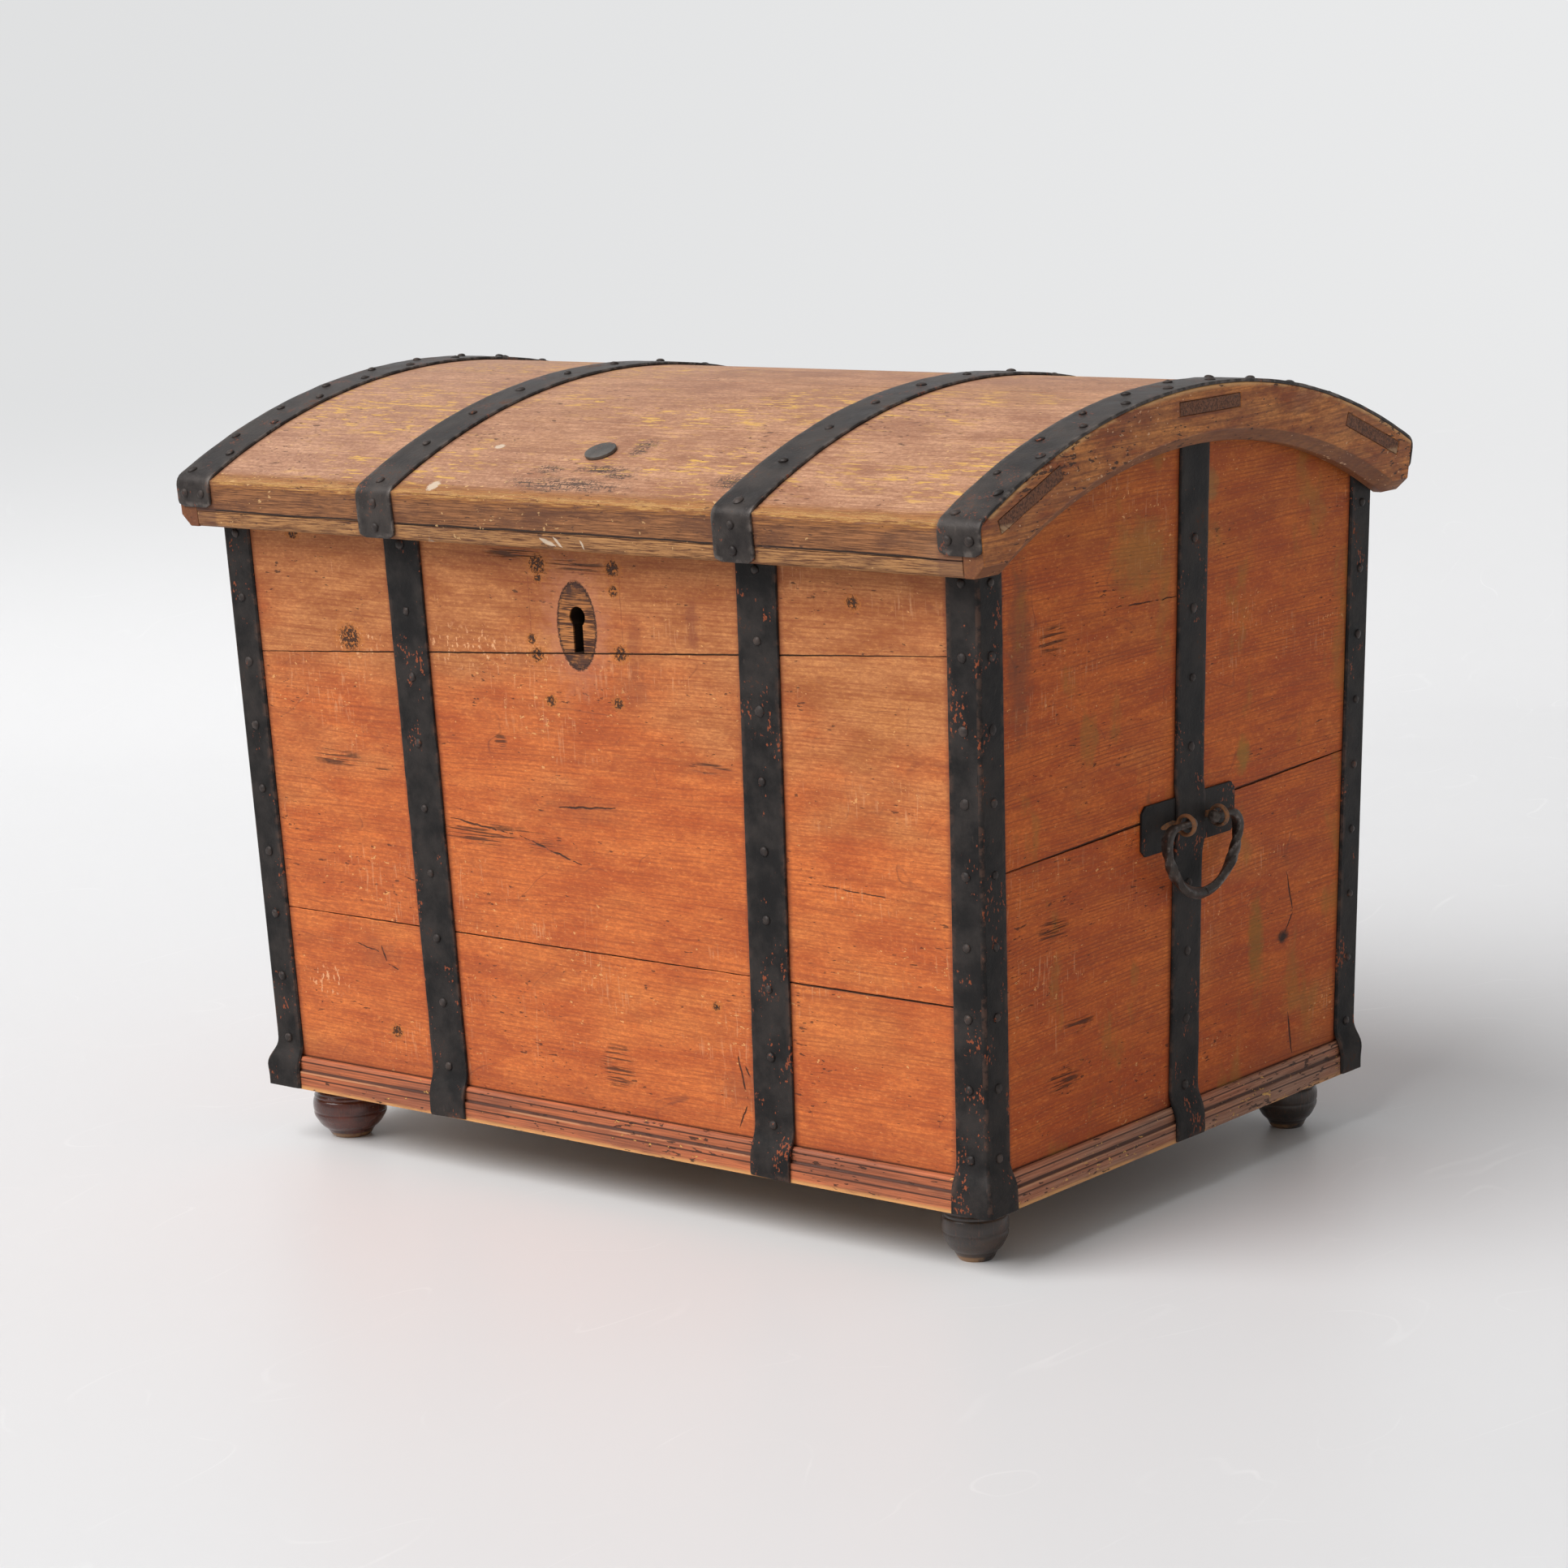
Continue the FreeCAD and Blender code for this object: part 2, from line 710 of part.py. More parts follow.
# Handles. The pins of each bail turn in two staples that stand clear of the end strap.
plate_face_x = end_face(handle_z) + s.iron_seat + s.plate_thickness
strap_face_x = plate_face_x + s.iron_seat + s.iron_thickness
staple_outer = s.staple_bore + s.staple_wall
EIGHTH = math.tan(math.pi / 8)
EYE_SHARES = ((1, -EIGHTH), (1, EIGHTH), (EIGHTH, 1), (-EIGHTH, 1), (-1, EIGHTH), (-1, -EIGHTH),
              (-EIGHTH, -1), (EIGHTH, -1))
pivot_x = strap_face_x + s.staple_clearance + staple_outer
staple_x = s.iron_width / 2 + s.staple_shank + s.staple_clearance
strap_rise = (handle_z - iron_low_z + s.overrun) / (end_strap_top_z - iron_low_z + s.overrun * 2)
handle_y = s.end_strap_base + (s.end_strap_top - s.end_strap_base) * strap_rise


def make_plate(name, turn, sign):
    """The handle plate, let in under the end strap."""
    body = new_body(name)
    half = s.plate_length / 2
    corners = [(half * a + handle_y * sign, up_wall(turn, z))
               for a, z in ((-1, plate_low_z), (1, plate_low_z), (1, plate_top_z), (-1, plate_top_z))]
    feature = extrude(body, "Pad", new_sketch(body, "XZ", [corners], shift=s.iron_seat), s.plate_thickness)
    upright = edges_where(feature, lambda edge: abs(edge.Length - s.plate_thickness.value) < s.iron_seat.value)
    dress(body, "Chamfer", feature, upright, s.plate_clip)
    return keep(wall_frame(body, turn))


def make_staple(name, turn, x):
    """A staple: an eye with eight flats, a square shank through the wall and a clinched end inside."""
    body = new_body(name)
    inside = end_face(handle_z) - s.wall_board / cosine(end_lean) - s.iron_seat - s.clinch_thickness
    flats = [(staple_outer * a - pivot_x, staple_outer * b) for a, b in EYE_SHARES]
    eye = new_sketch(body, "YZ", [flats], [(-pivot_x, 0, s.staple_bore)])
    extrude(body, "Pad", eye, s.staple_width, both_ways=True)
    square = [(s.staple_shank * a, s.staple_shank * b) for a, b in ((-1, -1), (1, -1), (1, 1), (-1, 1))]
    shank = new_sketch(body, "XZ", [square], shift=inside)
    extrude(body, "Pad", shank, pivot_x - s.staple_bore - inside)
    half = s.staple_width / 2
    clinch = [(-half, s.staple_shank), (-half, -s.clinch_length), (half, -s.clinch_length),
              (half, s.staple_shank)]
    extrude(body, "Pad", new_sketch(body, "XZ", [clinch], shift=inside), s.clinch_thickness)
    sign = 1 if turn == RIGHT else -1
    return place(body, (0, handle_y + x * sign, handle_z), (ABOUT_Z, turn))


def make_bail(name, turn):
    """The bail: a flat bar with straight pins, small corners and one large arc."""
    body = new_body(name)
    centre_z = s.bail_radius - s.bail_drop
    between = s.bail_radius - s.bail_corner
    lift = -s.bail_corner - centre_z
    corner_x = root(between * between - lift * lift)
    grow = s.bail_radius / between
    tangent = (corner_x * grow, centre_z + lift * grow)
    tip = staple_x - s.staple_width / 2 - s.bail_end
    path = [
        (-tip, 0),
        (-corner_x, 0, s.bail_corner, 1),
        (-tangent[0], tangent[1], s.bail_radius, 1),
        (tangent[0], tangent[1], s.bail_corner, 1),
        (corner_x, 0),
        (tip, 0),
    ]
    half_width = s.bail_width / 2
    half_thick = s.bail_thickness / 2
    section = [(half_thick * a, half_width * b) for a, b in ((1, 1), (-1, 1), (-1, -1), (1, -1))]
    spine = new_sketch(body, "XZ", [path], closed=False)
    profile = new_sketch(body, "YZ", [section], shift=-tip)
    pipe = body.newObject("PartDesign::AdditivePipe", f"{name}_bar")
    pipe.Profile = profile
    pipe.Spine = spine
    sign = 1 if turn == RIGHT else -1
    return keep(place(body, (pivot_x * sign, handle_y, handle_z), (ABOUT_Z, turn)))


def make_handles():
    """A plate, a pair of staples and a bail at each end."""
    staples = []
    for side, turn, sign in (("left", LEFT, -1), ("right", RIGHT, 1)):
        make_plate(f"handle_plate_{side}", turn, sign)
        staples += [make_staple(f"staple_{side}_{i}", turn, staple_x * a) for i, a in ((1, -1), (2, 1))]
        make_bail(f"handle_bail_{side}", turn)
    keep(group("handle_staples", staples))


# The lid's staves, drawn about its axis: an angle from the crest and a distance from the axis.
half_angle = arc_sine(lid_half_depth / s.lid_radius)
stave_angle = half_angle * 2 / STAVES
stave_gap_angle = s.stave_gap / s.lid_radius * DEGREES_PER_RADIAN / 2


def polar(angle, radius):
    """The point at this angle from the crest and distance from the lid's axis."""
    return (sine(angle) * radius, cosine(angle) * radius)


def stave_outline(number):
    """A stave's section. The first and last end in a lip that forms the upper part of the rail."""
    low = stave_angle * (number - 1) - half_angle + stave_gap_angle
    high = stave_angle * number - half_angle - stave_gap_angle
    strip_z = rail_base_z + s.rail_strip + s.board_gap / 2 - axis_z
    inner_z = root(inner_radius * inner_radius - rail_inner_y * rail_inner_y)
    if number in (1, STAVES):
        sign = -1 if number == 1 else 1
        undercut = s.front_undercut if number == 1 else s.back_undercut
        seam = high if number == 1 else low
        outer_face = rail_face(undercut, strip_z + axis_z)
        return [
            (*polar(seam, s.lid_radius), s.lid_radius, -sign),
            (lid_half_depth * sign, arris_z - axis_z),
            (outer_face * sign, strip_z),
            (rail_inner_y * sign, strip_z),
            (rail_inner_y * sign, inner_z, inner_radius, sign),
            polar(seam, inner_radius),
        ]
    return [
        (*polar(high, s.lid_radius), s.lid_radius, 1),
        polar(low, s.lid_radius),
        (*polar(low, inner_radius), inner_radius, -1),
        polar(high, inner_radius),
    ]


def tenon_angle(number):
    """The angle of a stave's middle from the crest."""
    return stave_angle * (number - (STAVES + 1) / 2)


def tenon_outline(clearance):
    """A tenon's section, or its mortise with a clearance all round."""
    half = s.tenon_width / 2 + clearance
    low = s.lid_radius - s.tenon_depth - s.tenon_thickness / 2 - clearance
    high = s.lid_radius - s.tenon_depth + s.tenon_thickness / 2 + clearance
    return [(-half, low), (half, low), (half, high), (-half, high)]


def make_staves():
    """The staves of the lid. Tenons on some run right through the end boards."""
    length = (lid_inner_x - s.board_gap / 2) * 2
    for number in range(1, STAVES + 1):
        body = new_body(f"lid_stave_{number}")
        extrude(body, "Pad", new_sketch(body, "YZ", [stave_outline(number)]), length, both_ways=True)
        if number in TENONED_STAVES:
            tenon = new_sketch(body, "YZ", [tenon_outline(0)], turn=-tenon_angle(number))
            extrude(body, "Pad", tenon, lid_half_length * 2, both_ways=True)
        keep(place(body, (0, 0, axis_z)))


def make_rail_strips():
    """The strips that finish the rails under the first and last stave."""
    top = rail_base_z + s.rail_strip - s.board_gap / 2
    length = (lid_inner_x - s.board_gap / 2) * 2
    for name, sign, undercut in (("lid_front_rail", -1, s.front_undercut),
                                 ("lid_back_rail", 1, s.back_undercut)):
        body = new_body(name)
        low_face = rail_face(undercut, rail_base_z + s.rail_round)
        corners = [
            (rail_inner_y * sign, rail_base_z),
            (rail_inner_y * sign, top),
            (rail_face(undercut, top) * sign, top),
            (low_face * sign, rail_base_z + s.rail_round, s.rail_round, -sign),
            ((low_face - s.rail_round) * sign, rail_base_z),
        ]
        extrude(body, "Pad", new_sketch(body, "YZ", [corners]), length, both_ways=True)
        keep(place(body, (0, 0, 0)))


def make_end_board(side, sign):
    """An arched end board with through mortises and a chamfer along its lower outside edge."""
    body = new_body(f"lid_end_board_{side}")
    base = rail_base_z - axis_z
    foot = {-1: rail_face(s.front_undercut, rail_base_z), 1: rail_face(s.back_undercut, rail_base_z)}
    half_chord = foot[-1] - s.end_board_foot
    rise = s.lid_radius - s.end_board_crest - base
    under_radius = (half_chord * half_chord + rise * rise) / (rise * 2)
    corners = [
        (-half_chord, base, under_radius, -1),
        (half_chord, base),
        (foot[1], base),
        (lid_half_depth, arris_z - axis_z, s.lid_radius, 1),
        (-lid_half_depth, arris_z - axis_z),
        (-foot[-1], base),
    ]
    board = extrude(body, "Pad", new_sketch(body, "YZ", [corners]), s.end_board, inward=sign < 0)
    outer_x = s.end_board.value * sign
    middle_radius = s.lid_radius.value - s.end_board_crest.value / 2

    def lower_outer(edge):
        middle = edge.valueAt((edge.FirstParameter + edge.LastParameter) / 2)
        ends = [vertex.Point for vertex in edge.Vertexes]
        flat = all(abs(point.x - outer_x) < s.iron_seat.value for point in [middle, *ends])
        return flat and math.hypot(middle.y, middle.z) < middle_radius

    dress(body, "Chamfer", board, edges_where(board, lower_outer), s.end_board_chamfer)
    for number in TENONED_STAVES:
        mortise = new_sketch(body, "YZ", [tenon_outline(s.tenon_clearance)], turn=-tenon_angle(number))
        extrude(body, "Pocket", mortise, s.end_board, inward=sign > 0)
    return keep(place(body, (lid_inner_x * sign, 0, axis_z)))


# Irons over the lid. The outer two are bands that lap the rails; the inner two run on to a
# rolled eye at the back, where a pin joins them to the straps on the back wall.
eye_bore = s.hinge_pin_radius + s.hinge_clearance
eye_outer = eye_bore + s.iron_thickness
eye_clear = eye_outer + s.hinge_gap
hinge_y = rail_face(s.back_undercut, rail_base_z) + s.iron_seat + s.iron_thickness - eye_outer
hinge_z = rail_base_z - eye_clear
eye_width = (s.iron_width - s.hinge_gap * 2) / 3


def lid_strap_outline(front_z, back_z):
    """The section of an iron over the lid, lapping down the rails to front_z and back_z."""
    inner = s.lid_radius + s.iron_seat
    outer = inner + s.iron_thickness
    half_inner = lid_half_depth + s.iron_seat
    half_outer = half_inner + s.iron_thickness

    def bend(half, radius):
        return root(radius * radius - half * half)

    def lap(undercut, z, extra):
        return rail_face(undercut, z) + s.iron_seat + extra

    iron = s.iron_thickness
    return [
        (-lap(s.front_undercut, front_z, iron), front_z - axis_z),
        (-lap(s.front_undercut, front_z, 0), front_z - axis_z),
        (-half_inner, bend(half_inner, inner), inner, -1),
        (half_inner, bend(half_inner, inner)),
        (lap(s.back_undercut, back_z, 0), back_z - axis_z),
        (lap(s.back_undercut, back_z, iron), back_z - axis_z),
        (half_outer, bend(half_outer, outer), outer, 1),
        (-half_outer, bend(half_outer, outer)),
    ]


def round_laps(body, strap, sides):
    """Round the two corners of each lap."""
    low = {side: min(corner.Z for corner in strap.Shape.Vertexes if corner.Y * side > 0) for side in sides}
    slack = s.iron_seat.value

    def through_the_iron(edge):
        ends = [vertex.Point for vertex in edge.Vertexes]
        across = abs(ends[0].x - ends[-1].x) < slack < abs(ends[0].y - ends[-1].y)
        return across and any(all(point.y * side > 0 and point.z < low[side] + slack for point in ends)
                              for side in sides)

    dress(body, "Fillet", strap, edges_where(strap, through_the_iron), s.lap_round)


def make_lid_band(side, sign):
    """A band over the joint between the staves and an end board."""
    body = new_body(f"lid_end_band_{side}")
    lap_z = arris_z - s.end_lap
    strap = extrude(body, "Pad", new_sketch(body, "YZ", [lid_strap_outline(lap_z, lap_z)]), s.iron_width,
                    both_ways=True)
    doc.recompute()
    round_laps(body, strap, (-1, 1))
    return keep(place(body, ((lid_half_length - s.iron_width / 2) * sign, 0, axis_z)))


def add_eye(body, x, y, z, tongue):
    """Roll an eye at (y, z) on a leaf: a tongue and a ring of the same iron."""
    left = x - eye_width / 2
    extrude(body, "Pad", new_sketch(body, "YZ", [tongue], shift=left), eye_width)
    ring = new_sketch(body, "YZ", circles=[(y, z, eye_outer), (y, z, eye_bore)], shift=left)
    extrude(body, "Pad", ring, eye_width)


def make_lid_hinge_strap(side, sign):
    """The lid's half of a strap hinge: an iron over the lid that ends in two eyes."""
    body = new_body(f"lid_hinge_strap_{side}")
    outline = lid_strap_outline(rail_base_z + s.iron_end_gap, rail_base_z)
    strap = extrude(body, "Pad", new_sketch(body, "YZ", [outline]), s.iron_width, both_ways=True)
    doc.recompute()
    round_laps(body, strap, (-1,))
    low = hinge_z - axis_z
    high = rail_base_z - axis_z
    tongue = [(hinge_y + eye_bore, low), (hinge_y + eye_outer, low), (hinge_y + eye_outer, high),
              (hinge_y + eye_bore, high)]
    for way in (-1, 1):
        add_eye(body, (eye_width + s.hinge_gap) * way, hinge_y, low, tongue)
    return keep(place(body, (s.lid_strap_place * sign, 0, axis_z)))


def make_back_hinge_strap(side, sign):
    """The body's half of a strap hinge: an iron up the back wall, cranked out to one eye."""
    body = new_body(f"back_hinge_strap_{side}")
    leaf_z = hinge_z - eye_outer
    crank_z = leaf_z - s.crank_rise
    leaf_end = hinge_y - eye_clear
    iron = s.iron_thickness
    seat = side_half + s.iron_seat
    outline = [
        (seat, iron_low_z),
        (seat, base_z),
        (side_face(crank_z + iron) + s.iron_seat, crank_z + iron),
        (leaf_end, leaf_z + iron),
        (leaf_end, leaf_z),
        (side_face(crank_z) + s.iron_seat + iron, crank_z),
        (seat + iron, base_z),
        (seat + iron, iron_low_z),
    ]
    extrude(body, "Pad", new_sketch(body, "YZ", [outline]), s.iron_width, both_ways=True)
    tongue = [(leaf_end - iron, leaf_z), (hinge_y, leaf_z), (hinge_y, leaf_z + iron),
              (leaf_end - iron, leaf_z + iron)]
    add_eye(body, as_size(0), hinge_y, hinge_z, tongue)
    return keep(place(body, (s.lid_strap_place * sign, 0, 0)))


def make_hinge_pin(name, sign):
    """A hinge pin, a little longer than the three eyes it runs through."""
    half = s.iron_width / 2 + s.hinge_gap
    return cylinder(name, s.hinge_pin_radius, half * 2, (s.lid_strap_place * sign - half, hinge_y, hinge_z),
                    (ABOUT_Y, 90))


def make_hinges():
    """Both strap hinges, and the bands at the ends of the lid."""
    for side, sign in (("left", -1), ("right", 1)):
        make_lid_band(side, sign)
        make_lid_hinge_strap(side, sign)
        make_back_hinge_strap(side, sign)
    keep(group("hinge_pins", [make_hinge_pin(f"hinge_pin_{a}", b) for a, b in (("left", -1), ("right", 1))]))


# The lock. The case sits on the inside of the front wall, behind the keyhole; the bolt slides
# between the two cheeks of the hasp that hangs from the lid, over the bar that joins them.
case_top_z = lock_z + s.case_height / 2
case_inset = s.wall_board / cosine(side_lean) + s.iron_seat
bolt_up = up_wall(FRONT, case_top_z) - s.bolt_drop
bolt_in = s.case_depth / 2
hasp_y = -(side_half + sine(side_lean) * bolt_up - case_inset - cosine(side_lean) * bolt_in)
bolt_z = base_z + cosine(side_lean) * bolt_up + sine(side_lean) * bolt_in
bolt_tip_x = -(s.hasp_thickness / 2 + s.bolt_rest_gap)


def bolt_section(clearance):
    """The bolt's square section in the case, or its way through the guides with a clearance all round."""
    half = s.bolt_size / 2 + clearance
    return [(bolt_in - half, bolt_up - half), (bolt_in + half, bolt_up - half),
            (bolt_in + half, bolt_up + half), (bolt_in - half, bolt_up + half)]


def make_lock_case():
    """A case open towards the wall, notched for the hasp, with two guides and a keeper for the bolt."""
    body = new_body("lock_case")
    half = s.case_length / 2
    wall = s.case_wall
    top = up_wall(FRONT, case_top_z)
    low = top - s.case_height
    frame = [(-half, low), (half, low), (half, top), (-half, top)]
    extrude(body, "Pad", new_sketch(body, "XZ", [frame]), s.case_depth, inward=True)
    notch = s.hasp_thickness / 2 + s.bolt_clearance * 2
    hollow = [
        (-(half - wall), low + wall), (half - wall, low + wall), (half - wall, top - wall),
        (notch, top - wall), (notch, top + s.overrun), (-notch, top + s.overrun), (-notch, top - wall),
        (-(half - wall), top - wall),
    ]
    extrude(body, "Pocket", new_sketch(body, "XZ", [hollow]), s.case_depth - wall, inward=False)
    first = bolt_tip_x - s.bolt_rest_gap
    guide_low = bolt_up - s.bolt_size * 2
    keeper = bolt_tip_x + s.bolt_travel
    for right in (first, first - s.bolt_size - s.guide_thickness, keeper):
        guide = [(right - s.guide_thickness, guide_low), (right, guide_low), (right, top - wall),
                 (right - s.guide_thickness, top - wall)]
        extrude(body, "Pad", new_sketch(body, "XZ", [guide]), s.case_depth, inward=True)
    through = new_sketch(body, "YZ", [bolt_section(s.bolt_clearance)], shift=keeper)
    extrude(body, "Pocket", through, half + keeper - wall, inward=False)
    return keep(wall_frame(body, FRONT, case_inset))


def make_lock_bolt():
    """The sliding bolt, with a talon cut under it for the key."""
    body = new_body("lock_bolt")
    bar = new_sketch(body, "YZ", [bolt_section(0)], shift=bolt_tip_x - s.bolt_length)
    extrude(body, "Pad", bar, s.bolt_length)
    half = s.bolt_size / 2
    talon_x = bolt_tip_x - s.bolt_length + s.bolt_size
    talon = new_sketch(body, "XZ", circles=[(talon_x, bolt_up - half * 1.5, half)])
    extrude(body, "Pocket", talon, s.case_depth, inward=False)
    return keep(wall_frame(body, FRONT, case_inset))


def make_hasp():
    """The hasp: a leaf under the first stave, two cheeks joined by a bar that the bolt slides over,
    and a rivet with a round head outside."""
    half = s.hasp_leaf_length / 2
    leaf_radius = root(inner_radius * inner_radius - half * half) - s.iron_seat * 2
    low = leaf_radius - s.hasp_leaf_thickness
    angle = arc_sine((s.hasp_width - hasp_y - half) / inner_radius)
    bore = s.bolt_size / 2 + s.bolt_clearance * 2
    cheek = s.hasp_width / 2 - bore
    cheek_low = case_top_z - s.hasp_drop
    cheek_top = axis_z + (low + sine(angle) * hasp_y) / cosine(angle) + s.hasp_width

    def under_stave(name, radius, thickness):
        base = (-(s.hasp_leaf_width / 2), -(sine(angle) * radius) - cosine(angle) * half,
                axis_z + cosine(angle) * radius - sine(angle) * half)
        return box(name, s.hasp_leaf_width, s.hasp_leaf_length, thickness, base, (ABOUT_X, angle))

    pieces = [under_stave("hasp_leaf", low, s.hasp_leaf_thickness)]
    for side, near in (("front", -(bore + cheek)), ("back", bore)):
        room = under_stave(f"hasp_room_{side}", low - s.iron_seat, s.hasp_leaf_width)
        blank = box(f"hasp_blank_{side}", s.hasp_thickness, cheek, cheek_top - cheek_low,
                    (-(s.hasp_thickness / 2), hasp_y + near, cheek_low))
        pieces.append(join("Cut", f"hasp_cheek_{side}", blank, room))
    bar_length = (bore - s.iron_seat) * 2
    pieces.append(cylinder("hasp_bar", s.hasp_thickness / 2, bar_length,
                           (0, hasp_y + bar_length / 2, bolt_z - bore - s.hasp_thickness / 2), (ABOUT_X, 90)))
    body = new_body("hasp_rivet")
    outside = s.lid_radius + s.iron_seat * 3
    under = leaf_radius + s.iron_seat
    square = [(s.rivet_shank * a, s.rivet_shank * b) for a, b in ((-1, -1), (1, -1), (1, 1), (-1, 1))]
    extrude(body, "Pad", new_sketch(body, "XY", [square], shift=under), outside - under)
    head = new_sketch(body, "XY", circles=[(0, 0, s.rivet_radius)], shift=outside)
    extrude(body, "Pad", head, s.rivet_height)
    pieces.append(place(body, (0, 0, axis_z), (ABOUT_X, angle)))
    return keep(group("lid_hasp", pieces))


# Nails. Each group is one shape, because a nail is copied to places that follow the irons.
NAIL_FACETS = 5


def nail_shape():
    """A rose head: a low pyramid of flat facets, with its underside at zero."""
    turns = [2 * math.pi * (i + 0.5) / NAIL_FACETS for i in range(NAIL_FACETS)]
    radius = s.nail_head_radius.value
    rim = [FreeCAD.Vector(radius * math.cos(turn), radius * math.sin(turn), 0) for turn in turns]
    tip = FreeCAD.Vector(0, 0, s.nail_head_height.value)
    rings = [rim[::-1]] + [[rim[i - 1], rim[i], tip] for i in range(NAIL_FACETS)]
    return Part.Solid(Part.Shell([Part.Face(Part.makePolygon(ring + ring[:1])) for ring in rings]))


def nail_group(name, places):
    """Nails at places, each (point under the head, direction out of the iron)."""
    model = nail_shape()
    nails = []
    for point, outward in places:
        turn = FreeCAD.Rotation(FreeCAD.Vector(0, 0, 1), FreeCAD.Vector(*outward))
        nail = model.copy()
        nail.Placement = FreeCAD.Placement(FreeCAD.Vector(*point), turn)
        nails.append(nail)
    feature = doc.addObject("Part::Feature", name)
    feature.Shape = Part.makeCompound(nails)
    feature.Placement = FreeCAD.Placement()
    return keep(feature)


def spread(low, high, spacing):
    """Evenly spread places from low to high, about one spacing apart."""
    count = max(2, round((high - low) / spacing) + 1)
    return [low + (high - low) * i / (count - 1) for i in range(count)]


def on_wall(turn, x, z, extra):
    """A nail on a wall's iron: its place and outward direction. Extra is what lies under the iron."""
    is_end = turn in (RIGHT, LEFT)
    slope = (end_slope if is_end else side_slope).value
    face = (end_half if is_end else side_half).value + slope * (z - base_z.value)
    out = face + (s.iron_seat * 2 + s.iron_thickness).value + extra
    spin = FreeCAD.Rotation(FreeCAD.Vector(0, 0, 1), turn)
    return (spin.multVec(FreeCAD.Vector(x, -out, z)), spin.multVec(FreeCAD.Vector(0, -1, -slope)))


def on_lid(x, angle, radius):
    """A nail on the lid's curve, at this angle from the crest."""
    turn = math.radians(angle)
    outward = FreeCAD.Vector(0, math.sin(turn), math.cos(turn))
    return (outward * radius + FreeCAD.Vector(x, 0, axis_z.value), outward)


def on_rail(sign, x, z):
    """A nail on the lap of a lid iron, over the front rail (sign -1) or the back rail."""
    undercut = s.front_undercut if sign < 0 else s.back_undercut
    slope = (undercut / s.rail_height).value
    out = rail_face(undercut, as_size(z)).value + (s.iron_seat * 2 + s.iron_thickness).value
    return (FreeCAD.Vector(x, out * sign, z), FreeCAD.Vector(0, sign, -slope))


def make_body_nails():
    """Nails in the straps and corner irons of the body."""
    spacing = s.nail_spacing.value
    low = (bend_top_z + s.nail_head_radius * 2).value
    high = (rail_base_z - s.nail_head_radius * 2).value
    span = (iron_top_z - iron_low_z).value
    heights = spread(low, high, spacing)
    fronts = []
    corners = []
    ends = []
    backs = []
    inset = (s.corner_leg / 2 - s.iron_seat - s.iron_thickness).value
    for sign in (-1, 1):
        for z in heights:
            share = (z - iron_low_z.value) / span
            lean = s.strap_place_base.value * (1 - share) + s.strap_place_top.value * share
            fronts.append(on_wall(FRONT, lean * sign, z, 0))
            for turn in (FRONT, BACK):
                corners.append(on_wall(turn, (end_face(as_size(z)).value - inset) * sign, z, 0))
        turn = RIGHT if sign > 0 else LEFT
        for z in heights:
            for way in (-1, 1):
                corners.append(on_wall(turn, (side_face(as_size(z)).value - inset) * way, z, 0))
        end_span = (end_strap_top_z - iron_low_z).value
        clear = (plate_top_z - plate_low_z).value
        for z in heights:
            share = (z - iron_low_z.value) / end_span
            lean = s.end_strap_base.value * (1 - share) + s.end_strap_top.value * share
            if abs(z - handle_z.value) > clear:
                ends.append(on_wall(turn, lean * sign, z, 0))
        crank = (hinge_z - eye_outer - s.crank_rise - s.nail_head_radius * 2).value
        for z in spread((base_z + s.nail_head_radius * 2).value, crank, spacing):
            backs.append(on_wall(BACK, s.lid_strap_place.value * sign, z, 0))
    nail_group("front_strap_nails", fronts)
    nail_group("corner_iron_nails", corners)
    nail_group("end_strap_nails", ends)
    nail_group("hinge_strap_nails", backs)


def make_lid_nails():
    """Two staggered rows in the end bands, one row in each hinge strap, and the nails in the laps."""
    radius = (s.lid_radius + s.iron_seat * 2 + s.iron_thickness).value
    pitch = math.degrees(s.nail_spacing.value / radius)
    margin = math.degrees(s.nail_head_radius.value * 3 / radius)
    reach = half_angle.value - margin
    row = s.iron_width.value / 4
    lap_z = (arris_z - s.end_lap / 2).value
    bands = []
    straps = []
    for sign in (-1, 1):
        band_x = (lid_half_length - s.iron_width / 2).value * sign
        for way in (-1, 1):
            for angle in spread(-reach, reach - pitch / 2, pitch):
                bands.append(on_lid(band_x + row * way, angle + (way + 1) * pitch / 4, radius))
            for rail in (-1, 1):
                bands.append(on_rail(rail, band_x + row * way, lap_z))
        strap_x = s.lid_strap_place.value * sign
        for angle in spread(-reach, reach, pitch):
            straps.append(on_lid(strap_x, angle, radius))
        for share in (0.25, 0.75):
            z = (rail_base_z + s.rail_height * share).value
            straps.append(on_rail(-1, strap_x, z))
        straps.append(on_rail(1, strap_x, lap_z))
    nail_group("lid_band_nails", bands)
    nail_group("lid_hinge_strap_nails", straps)


def make_feet_and_plinth():
    """Four feet, the nearest left one larger, and the plinth on the front and both ends."""
    feet = []
    for place_name, way in (("front", -1), ("back", 1)):
        for side, sign in (("left", -1), ("right", 1)):
            large = (place_name, side) == ("front", "left")
            radius = s.foot_radius_large if large else s.foot_radius
            feet.append(make_foot(f"foot_{place_name}_{side}", foot_x * sign, foot_y * way, radius))
    keep(group("turned_feet", feet))
    make_plinth("plinth_front", FRONT, plinth_inner_y, (plinth_outer_x, True), (plinth_outer_x, True))
    make_plinth("plinth_right", RIGHT, plinth_inner_x, (plinth_outer_y, True), (side_half, False))
    make_plinth("plinth_left", LEFT, plinth_inner_x, (side_half, False), (plinth_outer_y, True))


